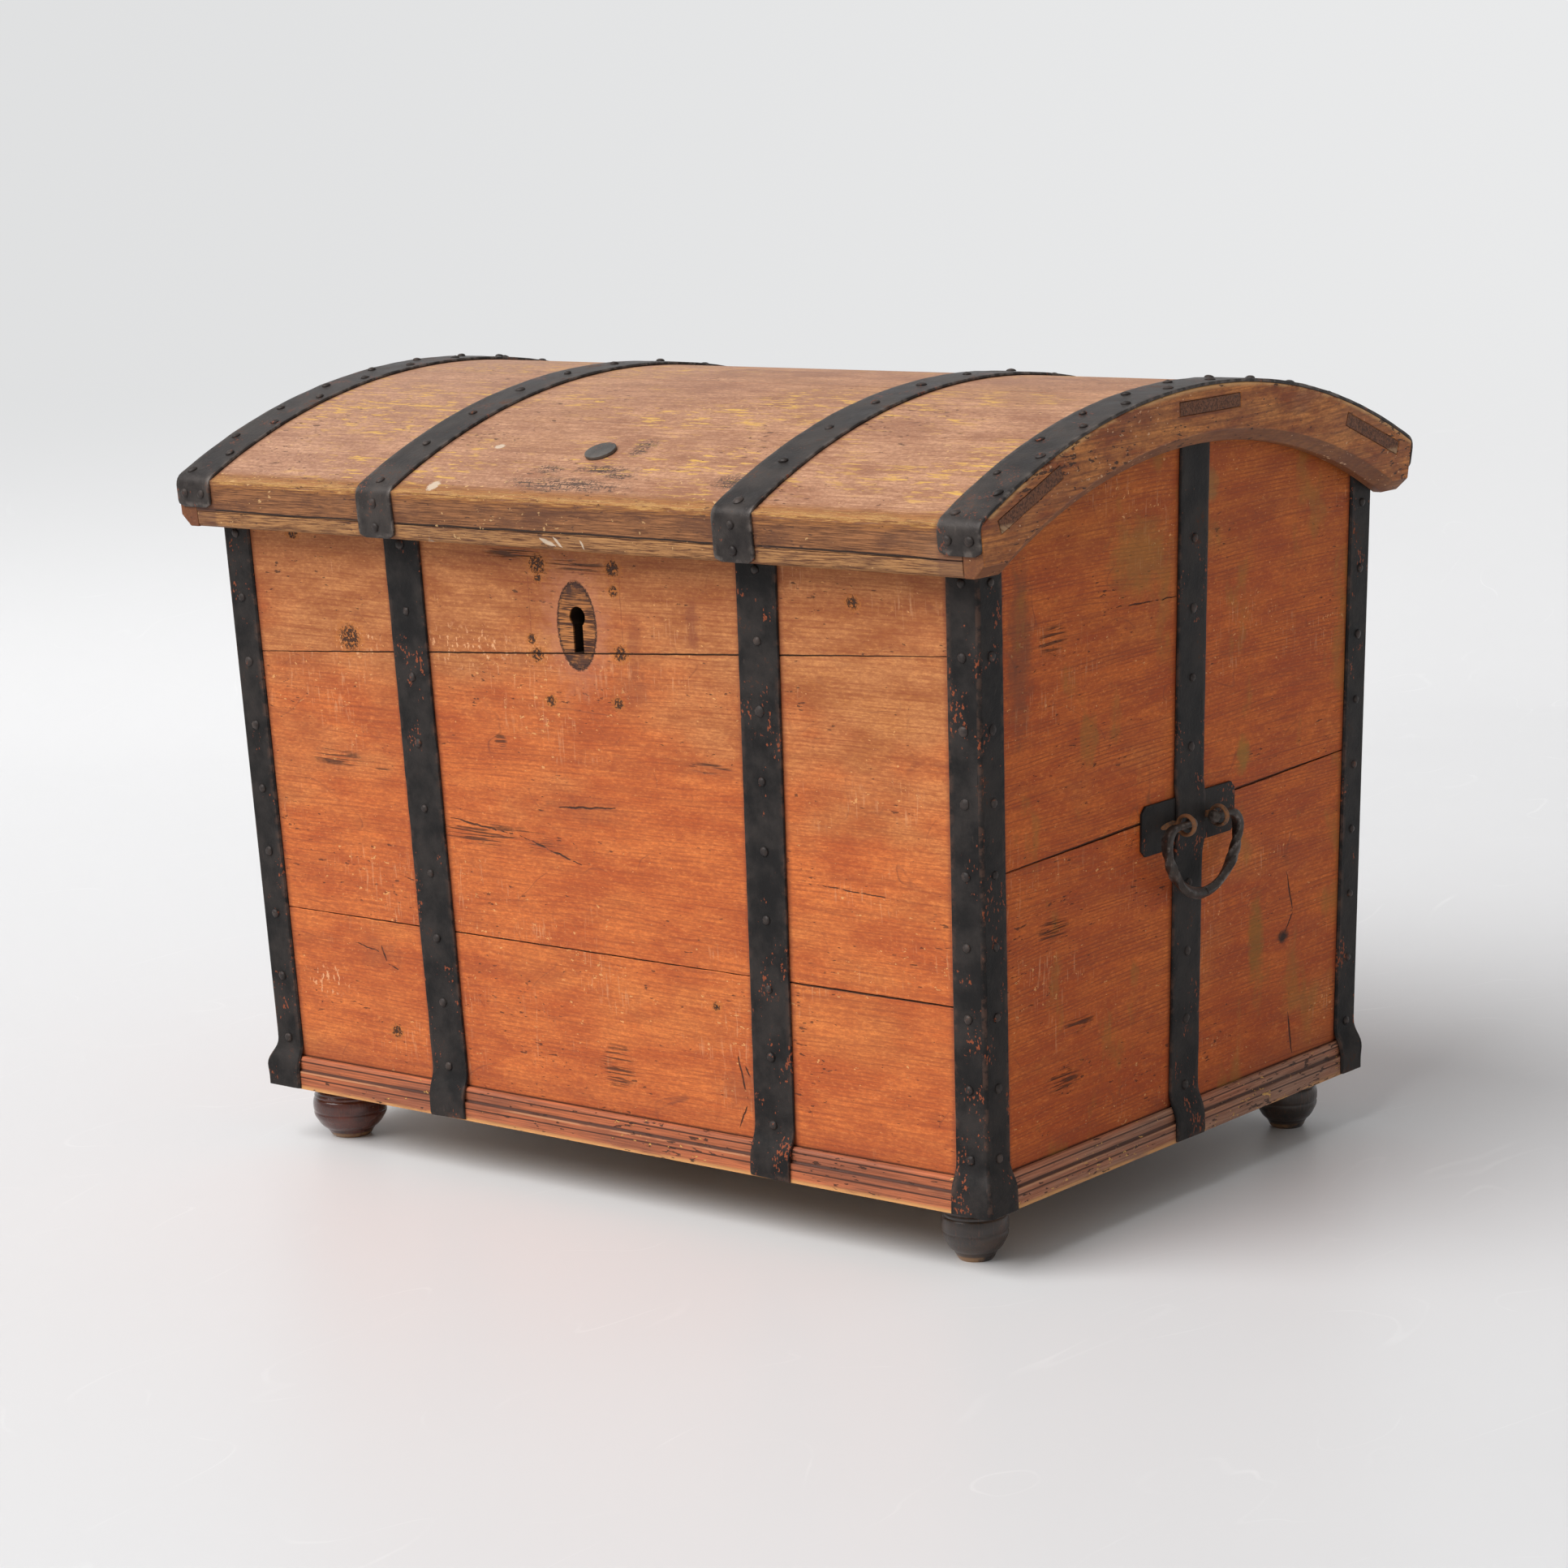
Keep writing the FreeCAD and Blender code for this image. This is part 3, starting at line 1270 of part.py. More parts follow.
def check_and_write():
    """Recompute, check every object and write each piece to its own file."""
    doc.recompute()
    for item in doc.Objects:
        if "Invalid" in item.State or "Error" in item.State:
            raise RuntimeError(f"{item.Name} failed: {item.State}")
        if item.TypeId == "PartDesign::Pocket" and item.Shape.Volume >= item.BaseFeature.Shape.Volume:
            raise RuntimeError(f"{item.Name} cuts nothing")
    os.makedirs("parts", exist_ok=True)
    for piece in nodes:
        if piece.Shape.isNull() or not piece.Shape.isValid() or not piece.Shape.Solids:
            raise RuntimeError(f"{piece.Label} has no valid solid")
    for piece in nodes:
        piece.Shape.exportStep(f"parts/{piece.Label}.step")
    print(len(nodes), "pieces")


make_bottom()
make_walls()
make_feet_and_plinth()
make_body_irons()
make_handles()
make_staves()
make_rail_strips()
make_end_board("left", -1)
make_end_board("right", 1)
make_hinges()
make_lock_case()
make_lock_bolt()
make_hasp()
make_body_nails()
make_lid_nails()
check_and_write()
for title, values in (
    ("lid hinge y z", (hinge_y, hinge_z)),
    ("handle pivot x y z", (pivot_x, handle_y, handle_z)),
    ("keyhole z, front face y", (lock_z, side_face(lock_z))),
    ("bolt y z tip x", (hasp_y, bolt_z, bolt_tip_x)),
    ("lid half length, half depth, crest", (lid_half_length, lid_half_depth, crest_z)),
    ("foot x y", (foot_x, foot_y)),
):
    print(title, [round(as_size(value).value, 2) for value in values])
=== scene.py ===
# %% [markdown]
# # A folk art chest with a domed lid
# The CAD model gives every piece its size and place. This lesson loads it, gives the flat boards
# soft edges, makes the forged and turned pieces afresh as smooth surfaces, paints everything with
# procedural materials and sets up a small studio round it.

import json
import math

import bmesh
import bpy
import numpy as np
from mathutils import Matrix, Vector

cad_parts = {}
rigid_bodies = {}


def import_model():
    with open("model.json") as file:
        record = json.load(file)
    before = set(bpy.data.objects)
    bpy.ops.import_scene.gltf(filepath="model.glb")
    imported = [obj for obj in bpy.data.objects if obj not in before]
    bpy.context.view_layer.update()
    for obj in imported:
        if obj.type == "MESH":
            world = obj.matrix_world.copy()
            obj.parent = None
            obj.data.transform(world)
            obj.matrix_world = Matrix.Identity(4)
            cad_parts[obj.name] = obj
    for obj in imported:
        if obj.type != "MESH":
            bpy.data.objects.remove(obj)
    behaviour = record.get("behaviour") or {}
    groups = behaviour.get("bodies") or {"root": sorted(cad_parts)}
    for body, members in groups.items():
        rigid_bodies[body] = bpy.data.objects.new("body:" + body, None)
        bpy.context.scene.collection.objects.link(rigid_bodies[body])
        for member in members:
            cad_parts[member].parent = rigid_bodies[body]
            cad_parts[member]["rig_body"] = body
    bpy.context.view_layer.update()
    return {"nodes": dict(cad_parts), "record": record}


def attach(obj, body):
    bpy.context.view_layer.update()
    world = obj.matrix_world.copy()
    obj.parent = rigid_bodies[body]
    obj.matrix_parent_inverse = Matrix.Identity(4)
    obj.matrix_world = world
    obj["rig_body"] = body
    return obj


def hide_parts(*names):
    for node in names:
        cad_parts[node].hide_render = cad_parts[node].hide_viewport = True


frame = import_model()
NODES = frame["nodes"]

# %% [markdown]
# ## Where the walls are
# Walls, plinth and lid are simple shapes, so a few formulas say where their faces are. The irons
# that are bent round them, and the marks painted on them, are placed with these formulas.

# %% Faces of the chest, in metres
BASE_Z, RIM_Z = 0.077, 0.645
BASE_HALF_LENGTH, LENGTH_GROWTH = 0.433, 0.02
BASE_HALF_DEPTH, DEPTH_GROWTH = 0.296, 0.014
PLINTH_TOP_Z, PLINTH_STEP = 0.087, 0.008
SEAT = 0.0001  # air between an iron and the wood under it
IRON, IRON_WIDTH = 0.003, 0.045
IRON_LOW_Z, IRON_TOP_Z = 0.056, 0.643
LID_RADIUS, LID_AXIS_Z = 0.738, 0.00611
LID_HALF_DEPTH, ARRIS_Z, RAIL_BASE_Z = 0.3418, 0.6602, 0.615
FRONT_UNDERCUT, BACK_UNDERCUT = 0.0038, 0.011


def end_face(z):
    """Half the length of the body at height z: it grows by 20 mm from the bottom to the rim."""
    return BASE_HALF_LENGTH + LENGTH_GROWTH * (np.asarray(z) - BASE_Z) / (RIM_Z - BASE_Z)


def side_face(z):
    """Half the depth of the body at height z: it grows by 14 mm from the bottom to the rim."""
    return BASE_HALF_DEPTH + DEPTH_GROWTH * (np.asarray(z) - BASE_Z) / (RIM_Z - BASE_Z)


def rail_face(side, z):
    """Half the depth of the lid's rail at height z: it leans in below the arris, more at the back."""
    undercut = FRONT_UNDERCUT if side < 0 else BACK_UNDERCUT
    return LID_HALF_DEPTH - undercut * (ARRIS_Z - np.asarray(z)) / (ARRIS_Z - RAIL_BASE_Z)


PLINTH_OUT_X = float(end_face(PLINTH_TOP_Z)) + SEAT + PLINTH_STEP
PLINTH_OUT_Y = float(side_face(PLINTH_TOP_Z)) + SEAT + PLINTH_STEP
print("plinth reaches", round(PLINTH_OUT_X, 4), round(PLINTH_OUT_Y, 4))

# %% [markdown]
# ## Surfaces from grids and carried sections
# Forged straps, rings, bails and corner irons are all a closed section carried along a path, and a
# turned foot is a profile carried round a circle. One helper numbers the faces of a grid of points
# and one turns finished grids into a mesh.


# %% Grid helpers
def unit(vectors):
    """Each vector divided by its own length."""
    return vectors / np.linalg.norm(vectors, axis=-1, keepdims=True)


def run_along(path):
    """How far each point of a path is from its start."""
    return np.concatenate(([0], np.cumsum(np.linalg.norm(np.diff(path, axis=0), axis=1))))


def all_round(count):
    """Equal steps of angle round a whole circle."""
    return np.linspace(0, 2 * math.pi, count, endpoint=False)


def grid_faces(rows, columns, ring):
    """Four-sided faces of points numbered row by row, closed across; ring closes them along too."""
    row = np.arange(rows if ring else rows - 1)[:, None]
    column = np.arange(columns)[None, :]
    after_row, after_column = (row + 1) % rows, (column + 1) % columns
    corners = [row * columns + column, row * columns + after_column,
               after_row * columns + after_column, after_row * columns + column]
    return np.stack(corners, axis=-1).reshape(-1, 4)


def closed_surface(points, ring=False, edge=None):
    """A grid of points, closed across, with its two open ends covered unless it is a ring."""
    rows, columns = points.shape[:2]
    caps = [] if ring else [list(range(columns))[::-1], list(range((rows - 1) * columns, rows * columns))]
    wear = np.zeros((rows, columns)) if edge is None else np.broadcast_to(edge, (rows, columns))
    return points.reshape(-1, 3), grid_faces(rows, columns, ring), caps, wear.reshape(-1)


def make_piece(name, surfaces, body, stands_for, material, sharp=38):
    """One piece from closed surfaces: its mesh, its smooth shading, its body, slot and material."""
    points = np.concatenate([surface[0] for surface in surfaces])
    starts = np.cumsum([0] + [len(surface[0]) for surface in surfaces[:-1]])
    faces = []
    for start, surface in zip(starts, surfaces):
        faces += (surface[1] + start).tolist() + [[int(i + start) for i in cap] for cap in surface[2]]
    mesh = bpy.data.meshes.new(name)
    mesh.from_pydata(points.tolist(), [], faces)
    # edge values: worn metal, which the iron finishes also paint with a highlight
    wear = mesh.attributes.new("edge_wear_and_highlight", "FLOAT", "POINT")
    wear.data.foreach_set("value", np.concatenate([surface[3] for surface in surfaces]).astype(np.float32))
    shape = bmesh.new()
    shape.from_mesh(mesh)
    bmesh.ops.recalc_face_normals(shape, faces=shape.faces)
    shape.to_mesh(mesh)
    shape.free()
    mesh.shade_smooth()
    mesh.set_sharp_from_angle(angle=math.radians(sharp))
    piece = bpy.data.objects.new(name, mesh)
    bpy.context.scene.collection.objects.link(piece)
    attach(piece, body)
    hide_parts(*stands_for)
    mesh.materials.append(material)


# %% [markdown]
# ## Hammer marks
# Forged iron is never quite flat. A sum of a few waves that cross at different angles gives soft
# hollows of about one size, and the same numbers each time the script runs.


# %% Hammered surface and straps
WAVES, WAVE_HEIGHT = 7, 1.6


def hammered(x, y, size, seed):
    """1.6 times the mean of seven sine waves over (x, y), each with its own angle, phase and length
    near size."""
    chance = np.random.default_rng(seed)
    angle, phase = chance.uniform(0, 2 * math.pi, (2, WAVES))
    pitch = 2 * math.pi / (size * chance.uniform(0.7, 1.5, WAVES))
    waves = [np.sin(k * (x * math.cos(a) + y * math.sin(a)) + p) for a, p, k in zip(angle, phase, pitch)]
    return np.mean(waves, axis=0) * WAVE_HEIGHT


def even_path(corners, step):
    """Points at equal steps along straight lines through the corners."""
    corners = np.asarray(corners, float)
    run = run_along(corners)
    marks = np.linspace(0, run[-1], max(2, round(run[-1] / step) + 1))
    return np.stack([np.interp(marks, run, corners[:, i]) for i in range(3)], axis=1)


def soften(path, reach):
    """Round the bends of a path: each point becomes the mean of all within reach of it."""
    steps = np.arange(1, reach + 1)[:, None]
    longer = np.concatenate((path[0] + (path[0] - path[1]) * steps[::-1], path,
                             path[-1] + (path[-1] - path[-2]) * steps))
    window = np.ones(2 * reach + 1) / (2 * reach + 1)
    return np.stack([np.convolve(longer[:, i], window, mode="valid") for i in range(3)], axis=1)


def carry(path, across_hint, section, ring=False, edge=None):
    """Carry a closed section along a path: each point is the path's point, plus the section's first
    number along the width, plus its second number at right angles to the path and the width."""
    if ring:
        run = unit(np.roll(path, -1, axis=0) - np.roll(path, 1, axis=0))
    else:
        run = unit(np.gradient(path, axis=0))
    out = unit(np.cross(run, across_hint))
    across = unit(np.cross(out, run))
    points = path[:, None] + across[:, None] * section[..., :1] + out[:, None] * section[..., 1:]
    return closed_surface(points, ring, edge)


# A strap's edge: how far in from its side in metres, how high as a share of its thickness, how worn
# and how bright, which is wear with a painted highlight.
STRAP_EDGE = np.array([(0.0006, 0.0, 0.2), (0.0, 0.3, 0.8), (0.0001, 0.62, 1.0), (0.0006, 0.92, 1.0),
                       (0.0016, 1.0, 0.5)])
EDGE_POINTS, FLAT_POINTS = len(STRAP_EDGE), 7
STRAP_STEP, DENT_SIZE, DENT_DEPTH = 0.003, 0.028, 0.00022
END_THICKNESS, END_WEAR_AND_HIGHLIGHT = 0.6, 0.8


def forged_strap(corners, across_hint, width, seed, round_start=0.0, round_end=0.0, thickness=IRON):
    """A hammered strap: a rounded flat section whose width wavers by one part in a hundred and whose
    corners are rounded by a quarter circle at either end."""
    path = soften(even_path(corners, STRAP_STEP), 2)
    run = run_along(path)
    half = width / 2 * (1 + 0.01 * hammered(run, 0 * run, 0.07, seed))
    for radius, distance in ((round_start, run), (round_end, run[-1] - run)):
        if radius:
            short = np.clip(1 - distance / radius, 0, 1)
            half = half - radius * (1 - np.sqrt(1 - short * short))
    flat = np.linspace(-1, 1, FLAT_POINTS + 2)[1:-1]
    inset = np.concatenate((STRAP_EDGE[:, 0], np.zeros(FLAT_POINTS), STRAP_EDGE[::-1, 0]))
    sides = np.concatenate((-np.ones(EDGE_POINTS), flat, np.ones(EDGE_POINTS)))
    height = np.concatenate((STRAP_EDGE[:, 1], np.ones(FLAT_POINTS), STRAP_EDGE[::-1, 1]))
    wear = np.concatenate((STRAP_EDGE[:, 2], np.zeros(FLAT_POINTS), STRAP_EDGE[::-1, 2]))
    across = sides * half[:, None] - np.sign(sides) * inset
    dents = hammered(run[:, None], across, DENT_SIZE, seed + 1) * DENT_DEPTH * (height > 0.9)
    up = height * thickness + dents
    up[[0, -1]] *= END_THICKNESS
    worn = wear + np.zeros_like(across)
    worn[[0, 1, -2, -1]] = np.maximum(worn[[0, 1, -2, -1]], END_WEAR_AND_HIGHLIGHT)
    return carry(path, np.array(across_hint, float), np.stack((across, up), axis=-1), edge=worn)


print("strap section has", 2 * EDGE_POINTS + FLAT_POINTS, "points")


# %% [markdown]
# ## Building materials
# A material here is a small program of nodes. Each helper below adds one node to the tree on the
# bench and gives back its output as a Value, and Python's signs between Values place math nodes, so
# that the programs read like arithmetic. A colour is three numbers: red, green and blue.


# %% Helpers that place nodes
BENCH = {}


class Value:
    """A node's output. A sign between two Values, or a Value and a number, places a math node."""

    def __init__(self, socket):
        self.socket = socket

    def __add__(self, other):
        return reckon("ADD", self, other)

    def __sub__(self, other):
        return reckon("SUBTRACT", self, other)

    def __rsub__(self, other):
        return reckon("SUBTRACT", other, self)

    def __mul__(self, other):
        return reckon("MULTIPLY", self, other)

    def __truediv__(self, other):
        return reckon("DIVIDE", self, other)

    def __or__(self, other):
        return reckon("MAXIMUM", self, other)

    def __abs__(self):
        return reckon("ABSOLUTE", self)


def feed(socket, value):
    """Link a Value to a socket, or write plain numbers into it; a colour gets its alpha here."""
    value = value.socket if isinstance(value, Value) else value
    if isinstance(value, bpy.types.NodeSocket):
        BENCH["tree"].links.new(value, socket)
    elif value is not None:
        socket.default_value = (*value, 1.0) if socket.type == "RGBA" else value


def node(kind, inputs=(), **settings):
    """Add a node, set its settings and feed its inputs, given by name or number."""
    made = BENCH["tree"].nodes.new(f"ShaderNode{kind}")
    for name, value in settings.items():
        setattr(made, name, value)
    for key, value in dict(inputs).items():
        feed(made.inputs[key], value)
    return made


def reckon(operation, *terms, clamp=False):
    """One Math node, or one Vector Math node where a vector is among the terms."""
    kinds = {term.socket.type for term in terms if isinstance(term, Value)}
    if kinds & {"VECTOR", "RGBA"}:
        terms = [(term,) * 3 if isinstance(term, (int, float)) else term for term in terms]
        made = node("VectorMath", dict(enumerate(terms)), operation=operation)
        is_number = operation in ("LENGTH", "DISTANCE", "DOT_PRODUCT")
        return Value(made.outputs["Value" if is_number else "Vector"])
    return Value(node("Math", dict(enumerate(terms)), operation=operation, use_clamp=clamp).outputs[0])


def most(masks):
    """The largest of several masks."""
    found = masks[0]
    for mask in masks[1:]:
        found = found | mask
    return found


def mix(share, first, second):
    """First colour where share is 0, second where it is 1."""
    return Value(node("Mix", {0: share, 6: first, 7: second}, data_type="RGBA").outputs[2])


def layered(colour, *layers):
    """Paints laid over a colour in turn, each with a mask before it and, after it, any strength."""
    for mask, paint, *strength in layers:
        colour = mix(mask * strength[0] if strength else mask, colour, paint)
    return colour


def fade(value, low, high, start=0.0, end=1.0):
    """A soft step: start where the value is under low, end where it is over high."""
    inputs = {"Value": value, "From Min": low, "From Max": high, "To Min": start, "To Max": end}
    return Value(node("MapRange", inputs, interpolation_type="SMOOTHSTEP").outputs[0])


def stretch(vector, scale, turn=0.0, shift=(0, 0, 0)):
    """The vector scaled, turned about z and shifted."""
    inputs = {"Vector": vector, "Location": shift, "Rotation": (0, 0, turn), "Scale": scale}
    return Value(node("Mapping", inputs).outputs[0])


def noise(vector, scale, detail=3.0, roughness=0.55, twist=0.0):
    """Cloudy values about one half, of one scale or of a scale for each axis."""
    if isinstance(scale, tuple):
        vector, scale = stretch(vector, scale), 1.0
    inputs = {"Vector": vector, "Scale": scale, "Detail": detail, "Roughness": roughness, "Distortion": twist}
    return Value(node("TexNoise", inputs).outputs["Fac"])


def split(vector):
    """The x, y and z of a vector."""
    return [Value(socket) for socket in node("SeparateXYZ", {0: vector}).outputs]


def combine(x, y, z):
    """A vector from three numbers."""
    return Value(node("CombineXYZ", {0: x, 1: y, 2: z}).outputs[0])


def stored(name):
    """A number stored on the mesh's points."""
    return Value(node("Attribute", attribute_name=name).outputs["Fac"])


def make_group(name, inputs, build):
    """A node group. An input is a number where a number is given, else a vector; build gets them all
    as Values and gives back the outputs by name."""
    group = bpy.data.node_groups.new(name, "ShaderNodeTree")
    for title, value in inputs.items():
        kind = "NodeSocketFloat" if isinstance(value, float) else "NodeSocketVector"
        socket = group.interface.new_socket(title, in_out="INPUT", socket_type=kind)
        if value is not None:
            socket.default_value = value
    BENCH["tree"] = group
    entry = group.nodes.new("NodeGroupInput").outputs
    found = build(*(Value(entry[title]) for title in inputs))
    for title in found:
        group.interface.new_socket(title, in_out="OUTPUT", socket_type="NodeSocketFloat")
    leave = group.nodes.new("NodeGroupOutput")
    for title, value in found.items():
        feed(leave.inputs[title], value)
    return group


def use(group, **inputs):
    """Place a node group, feed its named inputs and give back its outputs by name."""
    placed = node("Group", node_tree=group)
    for name, value in inputs.items():
        feed(placed.inputs[name.replace("_", " ")], value)
    return {socket.name: Value(socket) for socket in placed.outputs}


# %% [markdown]
# ## Pine grain
# A sawn pine board shows the edges of its year rings as fine dark lines that run along the board
# and sway round knots, with short fibres between. Rings are made by adding a slow sway to the
# distance across the board and taking a wave of it; only the narrow crest of each wave is dark.


# %% Pine grain group
def pine_grain(vector, ring_pitch, sway):
    """Broken crests of a wave over the swaying distance across the board, fibres and a slow cloud."""
    offset = (noise(vector, (1.6, 5.0, 7.0), 2.0, 0.5) * sway
              + noise(vector, (9.0, 30.0, 60.0), 2.0, 0.5) * 0.004)
    x, y, z = split(vector)
    wave = reckon("SINE", (z + y * 0.6 + offset) * (2 * math.pi) / ring_pitch)
    broken = noise(vector, (7.0, 60.0, 90.0), 3.0, 0.6)
    return {"Rings": fade(wave, 0.25, 0.98) * fade(broken, 0.36, 0.62),
            "Fibre": noise(vector, (12.0, 420.0, 640.0), 3.0, 0.65),
            "Cloud": noise(vector, (2.5, 6.0, 6.0), 4.0, 0.6)}


PINE = make_group("pine grain", {"Vector": None, "Ring pitch": 0.006, "Sway": 0.03}, pine_grain)

# %% [markdown]
# ## Spots and strokes
# Old furniture is told by its own marks: a crack here, a dark smear there. A spot is an ellipse with
# a ragged rim, and a stroke is everything near the line between two points. Both take their place
# from named inputs, so each mark on the chest is one row of a table. The raggedness comes in from
# outside, so that one noise serves all the marks of a material.


# %% Spot, stroke, speck and scratch groups
def spot_mask(vector, centre, reach, rag, softness):
    """1 inside an ellipse of the given reach, with the rag added to its rim."""
    edge = reckon("LENGTH", (vector - centre) / reach) + rag
    return {"Mask": fade(edge, softness + 1.0, 1.0 - softness)}


def stroke_mask(vector, start, end, width):
    """1 near the line from start to end, which tapers towards both."""
    here, whole = vector - start, end - start
    reached, length = reckon("DOT_PRODUCT", here, whole), reckon("DOT_PRODUCT", whole, whole)
    along = reckon("DIVIDE", reached, length, clamp=True)
    taper = width * fade(abs(along - 0.5), 0.2, 0.5, 1.0, 0.35)
    return {"Mask": fade(reckon("DISTANCE", here, whole * along), taper, taper * 0.45)}


def speck_mask(vector, scale, amount):
    """Small grains, thicker in some places than in others."""
    level = 0.84 - amount * fade(noise(vector, scale * 0.11, 2.0, 0.5), 0.35, 0.75)
    return {"Mask": fade(noise(vector, scale, 2.0, 0.5), level, level + 0.05)}


def scratch_mask(vector, scale, amount):
    """Thin broken lines: where a noise passes one half."""
    thin = fade(abs(noise(vector, scale, 1.5, 0.4, 0.6) - 0.5), 0.006, 0.001)
    return {"Mask": thin * fade(noise(vector, scale * 2.3, 2.0, 0.5), 0.82 - amount, 0.86)}


SPOT = make_group("spot", {"Vector": None, "Centre": (0, 0, 0), "Reach": (1, 1, 1), "Rag": 0.0,
                           "Softness": 0.2}, spot_mask)
STROKE = make_group("stroke", {"Vector": None, "Start": (0, 0, 0), "End": (1, 0, 0),
                               "Width": 0.001}, stroke_mask)
SPECKS = make_group("specks", {"Vector": None, "Scale": 300.0, "Amount": 0.3}, speck_mask)
SCRATCHES = make_group("scratches", {"Vector": None, "Scale": 10.0, "Amount": 0.5}, scratch_mask)
print("groups:", [group.name for group in bpy.data.node_groups])

# %% [markdown]
# ## How old paint wears
# Old paint is never one colour. It is cloudy over a hand's breadth, stippled where the brush and the
# fibres show, nicked dark where something struck it, chipped pale down to the primer and rubbed by
# things drawn past it. One group makes these five masks from the same place, each longer along the
# grain than across it.


# %% Paint wear group
def paint_wear(vector, nick_share, chip_share):
    """Two noises and three masks of wear; nicks and chips come thicker in places of their own."""
    place = noise(vector, (9.0, 13.0, 13.0), 4.0, 0.6)
    other_place = noise(stretch(vector, (7.0, 11.0, 12.0), shift=(3.0, 5.0, 2.0)), 1.0, 4.0, 0.6)

    def struck(share, size, ground):
        level = 0.79 - share * fade(ground, 0.42, 0.66, 0.1, 0.26)
        return fade(noise(vector, size, 2.0, 0.55), level, level + 0.03)

    upright = noise(vector, (420.0, 40.0, 40.0), 3.0, 0.6)
    return {"Mottle": noise(vector, (13.0, 36.0, 40.0), 6.0, 0.7),
            "Stipple": noise(vector, (190.0, 430.0, 460.0), 3.0, 0.7),
            "Nicks": struck(nick_share, (95.0, 300.0, 330.0), place),
            "Chips": struck(chip_share, (150.0, 230.0, 250.0), other_place),
            "Rubs": fade(upright, 0.58, 0.66) * fade(other_place, 0.52, 0.62)}


WEAR = make_group("paint wear", {"Vector": None, "Nick share": 0.5, "Chip share": 0.5}, paint_wear)
print(WEAR.name, len(WEAR.nodes), "nodes")

# %% [markdown]
# ## A finish from its parts
# Every finish ends the same way: a colour, a roughness and a height go into one Principled shader.
# Board materials first shift their grain by the plank's own number, so that two boards beside each
# other aren't cut from the same drawing.


# %% Starting and finishing a material
def start_finish(name):
    """An empty material on the bench and the object's own coordinates."""
    material = bpy.data.materials.new(name)
    material.use_nodes = True
    material.node_tree.nodes.clear()
    BENCH["tree"] = material.node_tree
    return material, Value(node("TexCoord").outputs["Object"])


def end_finish(colour, roughness, height, depth, metallic=0.0, coat=0.0, specular=0.5):
    """Feed the shader. Height is 0 to 1 over a depth in metres."""
    bump = node("Bump", {"Height": height, "Distance": depth, "Strength": 1.0}).outputs[0]
    shader = node("BsdfPrincipled", {
        "Base Color": colour, "Roughness": roughness, "Metallic": metallic, "Coat Weight": coat,
        "Coat Roughness": 0.25, "Specular IOR Level": specular, "Normal": bump})
    node("OutputMaterial", {"Surface": shader.outputs[0]})


def plank_vector(vector):
    """The coordinates moved by the plank's own number, read from the mesh."""
    number = stored("plank")
    return vector + combine(number * 3.17, number * 1.31, number * 0.617)


# %% [markdown]
# ## The body's paint
# The walls were painted orange-red a long time ago. The paint has worn browner near the rim, where
# ochre primer shows, and every wall has cracks, old nail holes, torn fibres and dark smears. Dirt and
# painted shade darken the wood beside the irons, and painted shade darkens it towards the plinth, in
# the corner just above the plinth and in the keyhole slot. Round the keyhole a lost plate has left an
# oval of bare striped wood.

# %% Body paint marks
# On a drawing of a face, a stroke is two places and a width; a spot is a place and its reach.
BROWN_BLACK = (0.04, 0.018, 0.012)
STAIN = (0.23, 0.062, 0.028)
FRONT_SEAMS = [(-0.45, 0.4899, 0.45, 0.5451, 0.001), (-0.44, 0.238, 0.21, 0.238, 0.0007),
    (0.19, 0.238, 0.44, 0.238, 0.0013)]
END_SEAMS = [(-0.288, 0.3525, 0.288, 0.3725, 0.0017)]
FRONT_CRACKS = [(-0.177, 0.349, -0.09, 0.34, 0.0012), (-0.09, 0.34, -0.014, 0.32, 0.0013),
    (-0.037, 0.372, 0.033, 0.377, 0.0013), (0.262, 0.331, 0.352, 0.326, 0.0007),
    (-0.318, 0.212, -0.283, 0.206, 0.0009), (-0.284, 0.216, -0.276, 0.196, 0.0012),
    (-0.276, 0.196, -0.258, 0.19, 0.0009), (0.16, 0.165, 0.17, 0.12, 0.0013),
    (0.17, 0.12, 0.158, 0.095, 0.001), (0.168, 0.155, 0.176, 0.14, 0.001)]
# Nail holes: a place and a size in millimetres.
FRONT_HOLES = [(-0.0456, 0.5966, 5.5), (0.046, 0.5975, 4.5), (-0.0456, 0.584, 2.4), (0.046, 0.577, 3.2),
    (-0.0577, 0.527, 3.0), (-0.0516, 0.513, 4.2), (0.05, 0.52, 4.4), (-0.0386, 0.471, 3.2),
    (0.0434, 0.4745, 3.2), (-0.294, 0.513, 7.5), (0.318, 0.583, 3.6), (-0.362, 0.611, 4.0),
    (-0.27, 0.129, 3.6), (0.139, 0.205, 2.4)]
PLATE = (-0.001, 0.5425)
KEYHOLE_Z = 0.538
FRONT_TORN = [(-0.322, 0.394, 0.03, 0.008), (-0.262, 0.386, 0.012, 0.003), (-0.12, 0.337, 0.07, 0.01),
    (-0.075, 0.606, 0.032, 0.005), (0.004, 0.598, 0.034, 0.005), (-0.106, 0.428, 0.008, 0.006),
    (0.15, 0.424, 0.022, 0.005), (0.016, 0.132, 0.018, 0.02)]
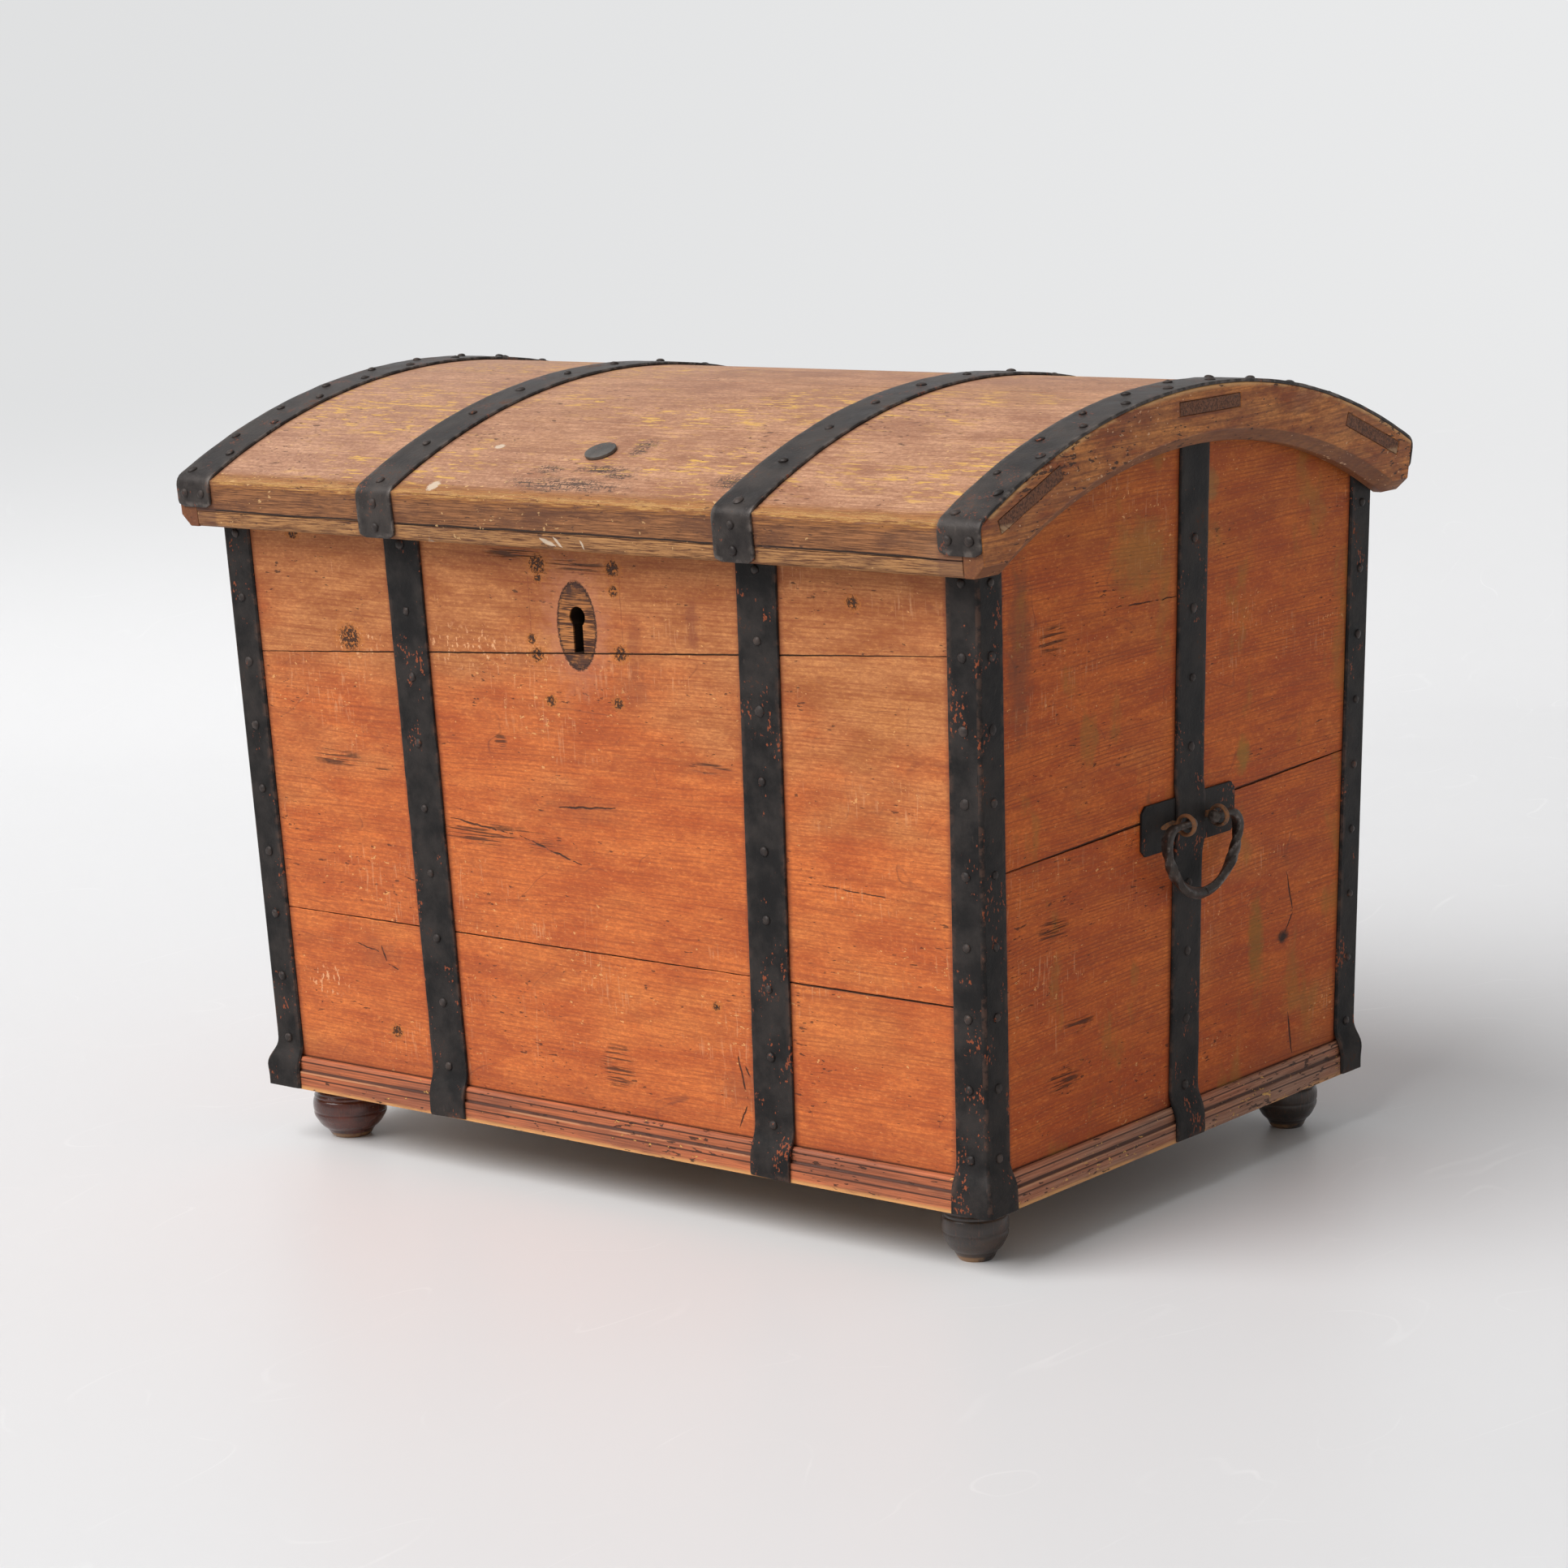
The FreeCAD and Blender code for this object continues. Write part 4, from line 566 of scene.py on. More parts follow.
# Smears: a place, its reach and a strength.
FRONT_SMEARS = [(0.136, 0.552, 0.006, 0.022, 0.6), (0.067, 0.528, 0.008, 0.026, 0.45),
    (0.064, 0.488, 0.02, 0.012, 0.45), (0.004, 0.372, 0.04, 0.01, 0.35), (0.165, 0.131, 0.026, 0.016, 0.4),
    (-0.286, 0.205, 0.024, 0.014, 0.35)]
FRONT_FAINT = [(-0.058, 0.601, -0.058, 0.512, 0.0009), (0.053, 0.601, 0.054, 0.515, 0.0009),
    (-0.04, 0.466, 0.045, 0.462, 0.0009), (-0.058, 0.59, 0.053, 0.592, 0.0008)]
FRONT_FLAKES = [(-0.135, 0.515, 0.055, 0.018), (-0.29, 0.511, 0.032, 0.012), (-0.02, 0.508, 0.05, 0.006),
    (-0.36, 0.17, 0.03, 0.014)]
END_CRACKS = [(0.177, 0.271, 0.189, 0.23, 0.0014), (0.189, 0.23, 0.175, 0.212, 0.0014),
    (0.183, 0.135, 0.19, 0.092, 0.0016), (-0.12, 0.56, 0.0, 0.557, 0.0008)]
END_TORN = [(-0.199, 0.29, 0.02, 0.01), (-0.185, 0.151, 0.022, 0.01), (-0.16, 0.199, 0.02, 0.008),
    (-0.2, 0.545, 0.018, 0.012)]
END_STAINS = [((0.125, 0.215, 0.011, 0.036), (0.22, 0.125, 0.022), 0.6),
              ((0.1, 0.395, 0.01, 0.016), (0.26, 0.16, 0.03), 0.6),
              ((-0.07, 0.6, 0.04, 0.03), (0.3, 0.15, 0.035), 0.5),
              ((0.04, 0.65, 0.012, 0.014), (0.26, 0.15, 0.05), 0.6),
              ((-0.249, 0.543, 0.016, 0.07), (0.17, 0.06, 0.03), 0.6),
              ((0.172, 0.209, 0.008, 0.0065), BROWN_BLACK, 1.0)]
print(len(FRONT_CRACKS), "cracks and", len(FRONT_HOLES), "nail holes in the front")

# %% [markdown]
# ## Drawing the marks
# All the marks of a face lie on one flat drawing, which leaves out one axis: y for the front, x for
# an end and z for the lid. The tables give their places in that drawing.


# %% Marks, bare pine and dirt
def beside_irons(across, z, strap, leg):
    """Dirt and painted shade in the last few millimetres beside a strap and a corner iron, each given as
    its place at the floor and its growth per metre of height."""
    from_strap = abs(across - (z * strap[1] + strap[0]))
    from_leg = z * leg[1] + leg[0] - abs(across)
    return fade(from_strap, 0.029, 0.0228) | fade(from_leg, 0.0065, 0.0003)


class Marks:
    """Marks on a flat drawing of a face, in one part of it. They share two noises for ragged rims, one
    for wavering strokes and one for torn fibres, which run along the drawing's grain."""

    def __init__(self, place, left_out, where, fibre_scale=(16, 16, 460)):
        self.left_out, self.where = left_out, where
        self.flat = combine(*[0.0 if axis == left_out else value for axis, value in enumerate(place)])
        self.wide = noise(self.flat, 90.0, 4.0, 0.6) - 0.5
        self.fine = noise(self.flat, 430.0, 3.0, 0.65) - 0.5
        shake = node("TexNoise", {"Vector": self.flat, "Scale": 70.0, "Detail": 4.0}).outputs["Color"]
        self.shake = Value(shake) - 0.5
        self.lines = fade(noise(self.flat, fibre_scale, 2.0, 0.5), 0.5, 0.58)

    def vector(self, first, second, other=0.0):
        """Two numbers of the drawing, and another for the axis left out."""
        numbers = [first, second]
        numbers.insert(self.left_out, other)
        return numbers

    def spot(self, row, ragged, softness, fine=False):
        """One ragged ellipse."""
        rag = (self.fine if fine else self.wide) * (ragged * 2)
        return use(SPOT, Vector=self.flat, Centre=self.vector(*row[:2]), Reach=self.vector(*row[2:4], 1.0),
                   Rag=rag, Softness=softness)["Mask"] * self.where

    def spots(self, table, ragged, softness, fine=False):
        """All the ellipses of a table as one mask."""
        return most([self.spot(row, ragged, softness, fine) for row in table])

    def strokes(self, table, waver):
        """All the strokes of a table as one mask, wavering by a length."""
        moved = self.flat + self.shake * waver
        return most([use(STROKE, Vector=moved, Start=self.vector(*row[:2]), End=self.vector(*row[2:4]),
                         Width=row[4])["Mask"] for row in table]) * self.where


def show_pine(colour, inside, grain):
    """Bare darkened pine where the inside mask is 1."""
    pine = mix(grain["Cloud"], (0.5, 0.32, 0.175), (0.3, 0.165, 0.085))
    return mix(inside, colour, layered(pine, (grain["Rings"], (0.18, 0.09, 0.045), 0.7)))


def lost_plate(colour, height, marks, z):
    """The oval of bare striped wood round the keyhole, with a dark rim and blotched ends."""
    oval = marks.spot((*PLATE, 0.0238, 0.041), 0.1, 0.03, fine=True)
    inner = marks.spot((*PLATE, 0.0222, 0.0388), 0.22, 0.06, fine=True)
    stripes = fade(noise(marks.flat, (30.0, 1.0, 620.0), 3.0, 0.6, 0.4), 0.42, 0.6)
    blotches = fade(abs(z - PLATE[1]), 0.016, 0.033) * fade(marks.wide, -0.1, 0.04, 0.25, 1.0)
    bare = layered(mix(stripes, (0.44, 0.17, 0.052), (0.06, 0.022, 0.012)),
                   (blotches, (0.058, 0.026, 0.02), 0.9))
    return layered(colour, (oval, mix(inner, (0.03, 0.013, 0.01), bare))), height - oval * 1.2


def nail_holes(colour, height, marks):
    """Pits with torn orange wood round them."""
    pitted = fade(noise(marks.flat, 330.0, 3.0, 0.6), 0.44, 0.5)
    for hole_x, hole_z, size in FRONT_HOLES:
        size *= 0.001
        rim = marks.spot((hole_x, hole_z, size * 2.2, size * 1.8), 2.0, 0.4, fine=True)
        pit = marks.spot((hole_x, hole_z, size * 1.5, size * 1.4), 1.2, 0.25, fine=True) * pitted
        colour = layered(colour, (rim, (0.46, 0.15, 0.032), 0.85), (pit, BROWN_BLACK, 0.95))
        height = height - pit * 1.5
    return colour, height


# %% [markdown]
# ## The walls' colours
# Each wall has a darker and a lighter paint low down and another two near the rim. The wear goes
# over them layer by layer, and then the marks of that wall.

# %% Wall finishes
# Low dark, low light, high dark and high light paint; the heights between which high replaces low.
FRONT_PAINTS = ((0.49, 0.102, 0.024), (0.7, 0.19, 0.045), (0.37, 0.122, 0.036), (0.59, 0.245, 0.086),
                (0.34, 0.55))
END_PAINTS = ((0.43, 0.074, 0.014), (0.65, 0.156, 0.031), (0.33, 0.076, 0.015), (0.53, 0.168, 0.036),
              (0.42, 0.8))
# A wall's place at the floor and its growth per metre of height.
END_LEAN, SIDE_LEAN = (0.43029, 0.03521), (0.2941, 0.02465)


def paint_walls(name, turn, is_end):
    """Worn paint over pine whose grain runs along x, or along y after a quarter turn."""
    material, here = start_finish(name)
    x, y, z = split(here)
    grained = plank_vector(stretch(here, (1, 1, 1), turn))
    grain = use(PINE, Vector=grained, Ring_pitch=0.0036 if is_end else 0.0045, Sway=0.06)
    wear = use(WEAR, Vector=grained, Nick_share=0.55, Chip_share=0.5)
    cloud = noise(grained, (3.2, 6.0, 8.0), 5.0, 0.62)
    mottle = fade(wear["Mottle"], 0.33, 0.67)
    low_dark, low_light, high_dark, high_light, rise = END_PAINTS if is_end else FRONT_PAINTS
    low, high = mix(mottle, low_dark, low_light), mix(mottle, high_dark, high_light)
    scuff = use(SCRATCHES, Vector=stretch(grained, (1, 1.4, 1.4)), Scale=9.0, Amount=0.42)["Mask"]
    if is_end:
        near, sunk = fade(x, 0.3, 0.35), z * END_LEAN[1] + END_LEAN[0] - abs(x)
        iron_dirt_and_shade = beside_irons(y, z, (0.00232, 0.01471), (0.2622, 0.02465))
    else:
        near, sunk = fade(y, -0.2, -0.25), z * SIDE_LEAN[1] + SIDE_LEAN[0] - abs(y)
        iron_dirt_and_shade = beside_irons(abs(x), z, (0.19771, 0.02801), (0.3984, 0.03521))
    colour = layered(
        mix(fade(z + (cloud - 0.5) * 0.55, *rise), low, high),
        (fade(cloud, 0.52, 0.7), (0.72, 0.285, 0.075), 0.35),
        (fade(cloud, 0.46, 0.3), (0.4, 0.085, 0.026), 0.22),
        (grain["Rings"], (0.24, 0.06, 0.022), 0.66 if is_end else 0.34),
        (fade(grain["Fibre"], 0.36, 0.62, 0.36, 0.0), (0.24, 0.052, 0.02)),
        (fade(wear["Stipple"], 0.38, 0.6, 0.34, 0.0), (0.25, 0.055, 0.022)),
        (fade(wear["Stipple"], 0.56, 0.72, 0.0, 0.28), (0.8, 0.33, 0.11)),
        (wear["Rubs"], (0.72, 0.38, 0.19), 0.32),
        (wear["Chips"], (0.76, 0.36, 0.13), 0.75),
        (wear["Nicks"], BROWN_BLACK, 0.72),
        (scuff, (0.16, 0.045, 0.025), 0.7),
        # dirt and painted shade darken the wood beside the irons
        (iron_dirt_and_shade, (0.17, 0.045, 0.024), 0.55),
        # painted shade darkens the wall towards the plinth
        (fade(z, 0.12, 0.088) * fade(cloud, 0.3, 0.6, 0.3, 0.9), (0.24, 0.058, 0.026), 0.5),
        # a painted shadow line in the corner just above the plinth
        (fade(z, 0.0895, 0.0876), BROWN_BLACK, 0.85))
    height = grain["Fibre"] * 0.4 + wear["Stipple"] * 0.4 - (wear["Nicks"] | wear["Chips"]) * 0.5

    marks = Marks((x, y, z), 0 if is_end else 1, near)
    cracks = marks.strokes(END_CRACKS if is_end else FRONT_CRACKS, 0.005)
    seams = marks.strokes(END_SEAMS if is_end else FRONT_SEAMS, 0.0014) * fade(cloud, 0.3, 0.45, 0.6, 1.0)
    tears = marks.spots(END_TORN if is_end else FRONT_TORN, 0.5, 0.35) * marks.lines * 0.85
    dark_marks = cracks | seams | tears
    if is_end:
        stains = [(marks.spot(row, 0.9, 0.5), paint, strength) for row, paint, strength in END_STAINS]
        olive = fade(noise(stretch(marks.flat, (1, 1.0, 0.55)), 17.0, 4.0, 0.6), 0.56, 0.68)
        colour = layered(colour, *stains, (olive, (0.3, 0.145, 0.03), 0.45))
    else:
        smears = [(marks.spot(row, 1.6, 0.6), STAIN, row[4]) for row in FRONT_SMEARS]
        shards = fade(noise(stretch(marks.flat, (1.2, 1, 0.7)), 170.0, 3.0, 0.6), 0.57, 0.61)
        colour = layered(colour, *smears, (marks.strokes(FRONT_FAINT, 0.003), STAIN, 0.55),
                         (marks.spots(FRONT_FLAKES, 0.8, 0.4) * shards, (0.8, 0.42, 0.21), 0.7),
                         (marks.spot((*PLATE, 0.036, 0.055), 0.8, 0.4), (0.46, 0.175, 0.095), 0.5))
        colour, height = lost_plate(colour, height, marks, z)
        colour, height = nail_holes(colour, height, marks)
    colour = layered(colour, (dark_marks, BROWN_BLACK, 0.92))
    height = height - dark_marks * 1.6
    colour = show_pine(colour, fade(sunk, 0.004, 0.007), grain)
    if not is_end:
        slot = fade(abs(x), 0.0125, 0.0115) * fade(abs(z - KEYHOLE_Z), 0.032, 0.03)
        # the walls of the keyhole slot are painted near black: painted shade inside the hole
        colour = layered(colour, (fade(sunk, 0.0006, 0.0025) * slot * near, (0.012, 0.007, 0.005), 0.97))
    roughness = fade(wear["Mottle"], 0.3, 0.7, 0.42, 0.56)
    end_finish(colour, roughness, height, 0.0006, specular=0.1 if is_end else 0.22)
    return material


QUARTER = -math.pi / 2
WALL_PAINT = paint_walls("worn orange-red paint", 0.0, False)
END_PAINT = paint_walls("worn orange-red paint on the ends", QUARTER, True)
print(WALL_PAINT.name, len(WALL_PAINT.node_tree.nodes), "nodes")

# %% [markdown]
# ## The lid's paint
# The lid is browner than the body. Hands and weather have rubbed it along the staves, so short ochre
# flecks run from end to end, the front arris is worn to ochre wood with a thin painted highlight along
# its crest and the rail under it is dark and fibrous. Dirt and painted shade darken the paint beside
# the irons. The ends of the tenons show dark end grain.


# %% Lid finishes
STRAP_X, END_BAND_X = 0.216, 0.45956
LID_SCRAPES = [(-0.036, -0.296, 0.018, 0.006), (0.03, -0.293, 0.032, 0.006), (0.052, -0.3, 0.016, 0.005),
    (0.04, -0.252, 0.01, 0.014), (0.004, -0.318, 0.06, 0.009), (0.18, -0.3, 0.016, 0.01)]
LID_DROPS = [(-0.15, -0.33, 0.006, 0.007), (-0.128, -0.262, 0.005, 0.004)]
RAIL_SCRAPES = [(-0.012, 0.626, 0.006, 0.619, 0.0024), (0.004, 0.627, 0.014, 0.618, 0.0018),
    (0.036, 0.626, 0.04, 0.618, 0.0014)]


def from_lid_axis(y, z):
    """Distance from the line that the lid is curved about."""
    return reckon("LENGTH", combine(0.0, y, z - LID_AXIS_Z))


def paint_rails(z, fibres, wear, cloud):
    """Dark fibrous wood, paler in the strip under the joint, which is a dark wavering line."""
    joint = abs(z + (cloud - 0.5) * 0.01 - 0.631)
    return layered(
        mix(fade(fibres, 0.34, 0.66), (0.105, 0.04, 0.018), (0.37, 0.155, 0.06)),
        (fade(wear["Mottle"], 0.54, 0.4), (0.12, 0.046, 0.024), 0.65),
        (fade(cloud, 0.5, 0.66), (0.38, 0.215, 0.125), 0.35),
        (fade(z, 0.6315, 0.6295) * fade(fibres, 0.4, 0.6), (0.52, 0.27, 0.1), 0.65),
        (fade(joint, 0.0013, 0.0006), (0.02, 0.01, 0.007), 0.95))


def paint_lid():
    """Brownish salmon paint with ochre flecks along x, a bare arris with a painted highlight, dirt and
    painted shade beside the irons, and darker rails.
    """
    material, here = start_finish("rubbed salmon paint")
    x, y, z = split(here)
    grained = plank_vector(here)
    grain = use(PINE, Vector=grained, Ring_pitch=0.0065, Sway=0.05)
    wear = use(WEAR, Vector=grained, Nick_share=0.62, Chip_share=0.5)
    cloud = noise(here, (3.5, 8.0, 8.0), 5.0, 0.62)
    dashes = fade(noise(grained, (40.0, 270.0, 270.0), 3.0, 0.6), 0.565, 0.61)
    flecked = fade(noise(here, (4.0, 10.0, 10.0), 4.0, 0.62), 0.44, 0.6)
    colour = layered(
        mix(fade(wear["Mottle"], 0.34, 0.66), (0.36, 0.16, 0.084), (0.6, 0.325, 0.19)),
        (fade(cloud, 0.5, 0.68), (0.5, 0.255, 0.12), 0.55),
        (fade(x, 0.1, -0.45), (0.56, 0.335, 0.235), 0.35),
        (grain["Rings"], (0.24, 0.1, 0.055), 0.28),
        (fade(grain["Fibre"], 0.36, 0.62, 0.36, 0.0), (0.2, 0.09, 0.05)),
        (fade(wear["Stipple"], 0.38, 0.6, 0.44, 0.0), (0.22, 0.095, 0.052)),
        (fade(wear["Stipple"], 0.58, 0.72, 0.0, 0.35), (0.66, 0.42, 0.27)),
        (dashes * flecked, (0.66, 0.38, 0.085), 0.9))
    rail = fade(z, 0.659, 0.655)
    fibres = noise(grained, (30.0, 800.0, 800.0), 4.0, 0.75)
    arris_z = z + (fibres - 0.5) * 0.03
    outer = fade(abs(y), 0.322, 0.334)
    arris = fade(arris_z, 0.652, 0.6575) * fade(arris_z, 0.672, 0.666) * outer
    worn_wood = mix(fade(fibres, 0.38, 0.62), (0.16, 0.055, 0.018), (0.39, 0.16, 0.045))
    front_most = fade(y * -1.0, -0.1, 0.1, 0.45, 0.9)
    from_iron = reckon("MINIMUM", abs(abs(x) - STRAP_X), abs(abs(x) - END_BAND_X))
    front = fade(y, -0.15, -0.2)
    marks = Marks((x, y, z), 2, front, (30, 420, 1))
    rail_marks = Marks((x, y, z), 1, rail * front)
    scrapes = marks.spots(LID_SCRAPES, 1.2, 0.5) * (marks.lines | fade(marks.fine, -0.02, 0.06))
    pale = marks.spots(LID_DROPS, 0.6, 0.2, fine=True) | rail_marks.strokes(RAIL_SCRAPES, 0.004)
    cut_wood = mix(fade(wear["Stipple"], 0.35, 0.65), (0.06, 0.024, 0.013), (0.2, 0.075, 0.033))
    colour = layered(
        mix(rail, colour, paint_rails(z, fibres, wear, cloud)),
        (arris, worn_wood, front_most),
        # a thin bright line along the arris crest: worn wood with a painted highlight
        (fade(abs(arris_z - 0.6605), 0.0016, 0.0006) * outer, (0.62, 0.36, 0.12), front_most * 0.75),
        (wear["Chips"], (0.64, 0.39, 0.17), 0.7),
        (wear["Nicks"], (0.075, 0.034, 0.022), 0.75),
        # dirt and painted shade darken the paint beside the lid irons
        (fade(from_iron, 0.028, 0.0228), (0.13, 0.052, 0.032), 0.5),
        (scrapes, (0.04, 0.03, 0.028), 0.85),
        (pale, (0.62, 0.5, 0.38), 0.85),
        (fade(abs(x), 0.4812, 0.4817), cut_wood))
    inside = (fade(from_lid_axis(y, z), 0.714, 0.7125) | rail) * fade(abs(y), 0.3185, 0.3175)
    height = grain["Fibre"] * 0.4 + wear["Stipple"] * 0.4 + fibres * rail * 1.2 - wear["Nicks"] * 0.6
    colour = show_pine(colour, inside, grain)
    end_finish(colour, fade(wear["Mottle"], 0.3, 0.7, 0.46, 0.6), height, 0.0006, specular=0.22)
    return material


def paint_lid_ends():
    """Brown-orange paint with grain along y, with painted shade darkening the chamfer under the arch."""
    material, here = start_finish("brown-orange paint on the lid ends")
    x, y, z = split(here)
    grained = plank_vector(stretch(here, (1, 1, 1), QUARTER))
    grain = use(PINE, Vector=grained, Ring_pitch=0.0055, Sway=0.07)
    wear = use(WEAR, Vector=grained, Nick_share=0.75, Chip_share=0.55)
    cloud = noise(grained, (4.0, 9.0, 10.0), 5.0, 0.64)
    radius = from_lid_axis(y, z)
    chamfer = (1.0 - fade(abs(x), 0.4812, 0.4819)) * fade(radius, 0.722, 0.715)
    colour = layered(
        mix(fade(wear["Mottle"], 0.34, 0.66), (0.3, 0.075, 0.02), (0.68, 0.26, 0.065)),
        (fade(cloud, 0.56, 0.68), (0.5, 0.27, 0.15), 0.4),
        (fade(cloud, 0.46, 0.34), (0.24, 0.072, 0.03), 0.5),
        (grain["Rings"], (0.16, 0.052, 0.026), 0.5),
        (fade(grain["Fibre"], 0.36, 0.64, 0.5, 0.0), (0.12, 0.038, 0.018)),
        (fade(wear["Stipple"], 0.36, 0.6, 0.4, 0.0), (0.14, 0.042, 0.02)),
        # painted shade darkens the chamfer under the arch
        (chamfer, (0.13, 0.055, 0.028), 0.7),
        (fade(radius, 0.733, 0.7372) * fade(wear["Mottle"], 0.4, 0.55), (0.66, 0.38, 0.16), 0.7),
        (wear["Chips"], (0.66, 0.4, 0.22), 0.7),
        (wear["Nicks"], BROWN_BLACK, 0.85))
    height = grain["Fibre"] * 0.6 - wear["Nicks"] * 0.6
    end_finish(colour, fade(cloud, 0.3, 0.7, 0.44, 0.58), height, 0.0006, specular=0.22)
    return material


LID_PAINT = paint_lid()
LID_END_PAINT = paint_lid_ends()
print(LID_PAINT.name, "and", LID_END_PAINT.name)

# %% [markdown]
# ## Plinth, bottom and feet
# The moulded plinth is a dull red-brown at the front and nearly bare at the ends, with dark lines in
# its hollows and a rubbed golden lower edge. The turned feet were varnished dark; the one at the front
# left is a replacement and redder than the others.


# %% Plinth, bottom and foot finishes
HOLLOWS = ((0.0742, 0.0011), (0.0672, 0.0006), (0.0826, 0.0006))  # height and half width


def paint_plinth(name, turn, new_paint, bare_paint):
    """Two browns by turns, dark lines in the hollows, a golden lower edge and ochre chips."""
    material, here = start_finish(name)
    z = split(here)[2]
    grained = stretch(here, (1, 1, 1), turn)
    grain = use(PINE, Vector=grained, Ring_pitch=0.004, Sway=0.02)
    wear = use(WEAR, Vector=stretch(grained, (0.8, 1, 1)), Nick_share=0.75, Chip_share=0.62)
    cloud = noise(grained, (7.0, 24.0, 40.0), 5.0, 0.66)
    fibres = noise(grained, (14.0, 420.0, 620.0), 4.0, 0.7)
    ragged_z = z + (cloud - 0.5) * 0.001
    lines = [(fade(abs(ragged_z - line_z), half * 1.7, half * 0.7), (0.045, 0.017, 0.011), 0.9)
             for line_z, half in HOLLOWS]
    colour = layered(
        mix(fade(cloud, 0.36, 0.62), bare_paint, new_paint),
        (fade(fibres, 0.36, 0.62, 0.6, 0.0), (0.12, 0.038, 0.02)), *lines,
        (fade(z, 0.0605, 0.056) * fade(cloud, 0.36, 0.5), (0.66, 0.34, 0.12), 0.8),
        (fade(abs(z - 0.0722), 0.0012, 0.0004) * fade(cloud, 0.44, 0.56), (0.6, 0.3, 0.15), 0.6),
        (wear["Chips"], (0.66, 0.36, 0.1), 0.85),
        (wear["Nicks"], BROWN_BLACK, 0.85))
    height = fibres * 0.8 + grain["Fibre"] * 0.3 - (wear["Chips"] | wear["Nicks"])
    end_finish(colour, fade(cloud, 0.3, 0.7, 0.44, 0.58), height, 0.0006, specular=0.25)
    return material


def darken_pine():
    """Bare pine that has gone dark, inside and under the chest."""
    material, here = start_finish("darkened pine")
    grain = use(PINE, Vector=plank_vector(here), Ring_pitch=0.008, Sway=0.06)
    colour = layered(
        mix(fade(grain["Cloud"], 0.35, 0.65), (0.46, 0.3, 0.17), (0.34, 0.2, 0.105)),
        (grain["Rings"], (0.2, 0.1, 0.05), 0.7),
        (fade(grain["Fibre"], 0.35, 0.65, 0.25, 0.0), (0.18, 0.1, 0.06)))
    end_finish(colour, 0.66, grain["Fibre"] + grain["Rings"], 0.0004, specular=0.2)
    return material


def varnish_feet():
    """Dark varnish over turned wood: redder at the front left, with a few rubbed places."""
    material, here = start_finish("dark foot varnish")
    x, y, z = split(here)
    red = fade(x, 0.0, -0.1) * fade(y, 0.0, -0.1)
    cloud = noise(here, (30.0, 30.0, 45.0), 5.0, 0.65)
    fibre = noise(here, (500.0, 500.0, 60.0), 3.0, 0.6)
    plain = mix(fade(cloud, 0.4, 0.65), (0.022, 0.015, 0.012), (0.048, 0.027, 0.018))
    reddish = mix(fade(cloud, 0.35, 0.65), (0.105, 0.022, 0.012), (0.05, 0.012, 0.008))
    rubs = use(SPECKS, Vector=stretch(here, (1, 1, 1.6)), Scale=150.0, Amount=0.26)["Mask"]
    pad = fade(z, 0.006, 0.0035) * fade(cloud, 0.42, 0.54)
    colour = layered(mix(red, plain, reddish), (fade(fibre, 0.55, 0.7), (0.15, 0.05, 0.025), 0.35),
                     (rubs | pad, (0.34, 0.18, 0.075), 0.7))
    end_finish(colour, 0.38 - red * 0.2, cloud * 0.6 + fibre, 0.0003, coat=0.35)
    return material


PLINTH_PAINT = paint_plinth("red-brown plinth paint", 0.0, (0.52, 0.15, 0.06), (0.34, 0.11, 0.055))
PLINTH_END_PAINT = paint_plinth("worn plinth paint on the ends", QUARTER,
                                (0.44, 0.17, 0.09), (0.36, 0.19, 0.12))
BARE_PINE = darken_pine()
FOOT_VARNISH = varnish_feet()

# %% [markdown]
# ## Iron
# All the iron is forged and then blackened. One group works out what happens to any iron: soft
# hammer hollows, rust in patches, scuffs where things rubbed past. Each iron then mixes its own
# colours with these masks, and the bright rim of a strap, worn metal with a painted highlight, comes
# from the edge values stored on its mesh.


# %% Iron skin group and finishes
def iron_skin(vector, rust, scuff):
    """Masks of rust, scuffs and flecks of paint, a slow cloud and the height of the skin."""
    slow = noise(vector, 26.0, 5.0, 0.62)
    fine = noise(vector, 260.0, 4.0, 0.65)
    pits = noise(vector, 900.0, 2.0, 0.6)
    rub = noise(stretch(vector, (1, 1, 0.35)), 120.0, 5.0, 0.72)
    flecks = use(SPECKS, Vector=stretch(vector, (1, 1, 0.6)), Scale=400.0, Amount=0.31)["Mask"]
    return {"Rust": fade(slow * 0.6 + fine * 0.4, 0.7 - rust * 0.22, 0.76 - rust * 0.22),
            "Scuff": fade(rub, 0.74 - scuff * 0.2, 0.8), "Flecks": flecks, "Cloud": slow,
            "Height": slow * 0.9 + (fine * 0.45 + pits * 0.2)}


SKIN = make_group("iron skin", {"Vector": None, "Rust": 0.3, "Scuff": 0.3}, iron_skin)


def forge_finish(name, dark, light, rust_share, scuff_share, edge_share, edge_paint, metal, rough,
                 rust_paint=(0.2, 0.06, 0.026), scuff_paint=(0.15, 0.095, 0.075), fleck_share=0.8,
                 specular=0.3):
    """A blackened iron between two greys, with rust, scuffs, flecks and bright worn edges with a painted
    highlight, in the shares given.
    """
    material, here = start_finish(name)
    masks = use(SKIN, Vector=here, Rust=rust_share, Scuff=scuff_share)
    # bright worn edges, partly a painted highlight
    edge = stored("edge_wear_and_highlight") * fade(noise(here, 75.0, 4.0, 0.65), 0.46, 0.62)
    colour = layered(
        mix(fade(masks["Cloud"], 0.35, 0.65), dark, light),
        (masks["Scuff"], scuff_paint, 0.6),
        (edge, edge_paint, edge_share),
        (masks["Rust"], rust_paint, 0.8),
        (masks["Flecks"], (0.3, 0.075, 0.03), fleck_share))
    roughness = fade(masks["Cloud"], 0.3, 0.7, rough - 0.05, rough + 0.08) + masks["Rust"] * 0.25
    metallic = (1.0 - masks["Rust"]) * metal
    end_finish(colour, roughness, masks["Height"], 0.0007, metallic=metallic, specular=specular)
    return material


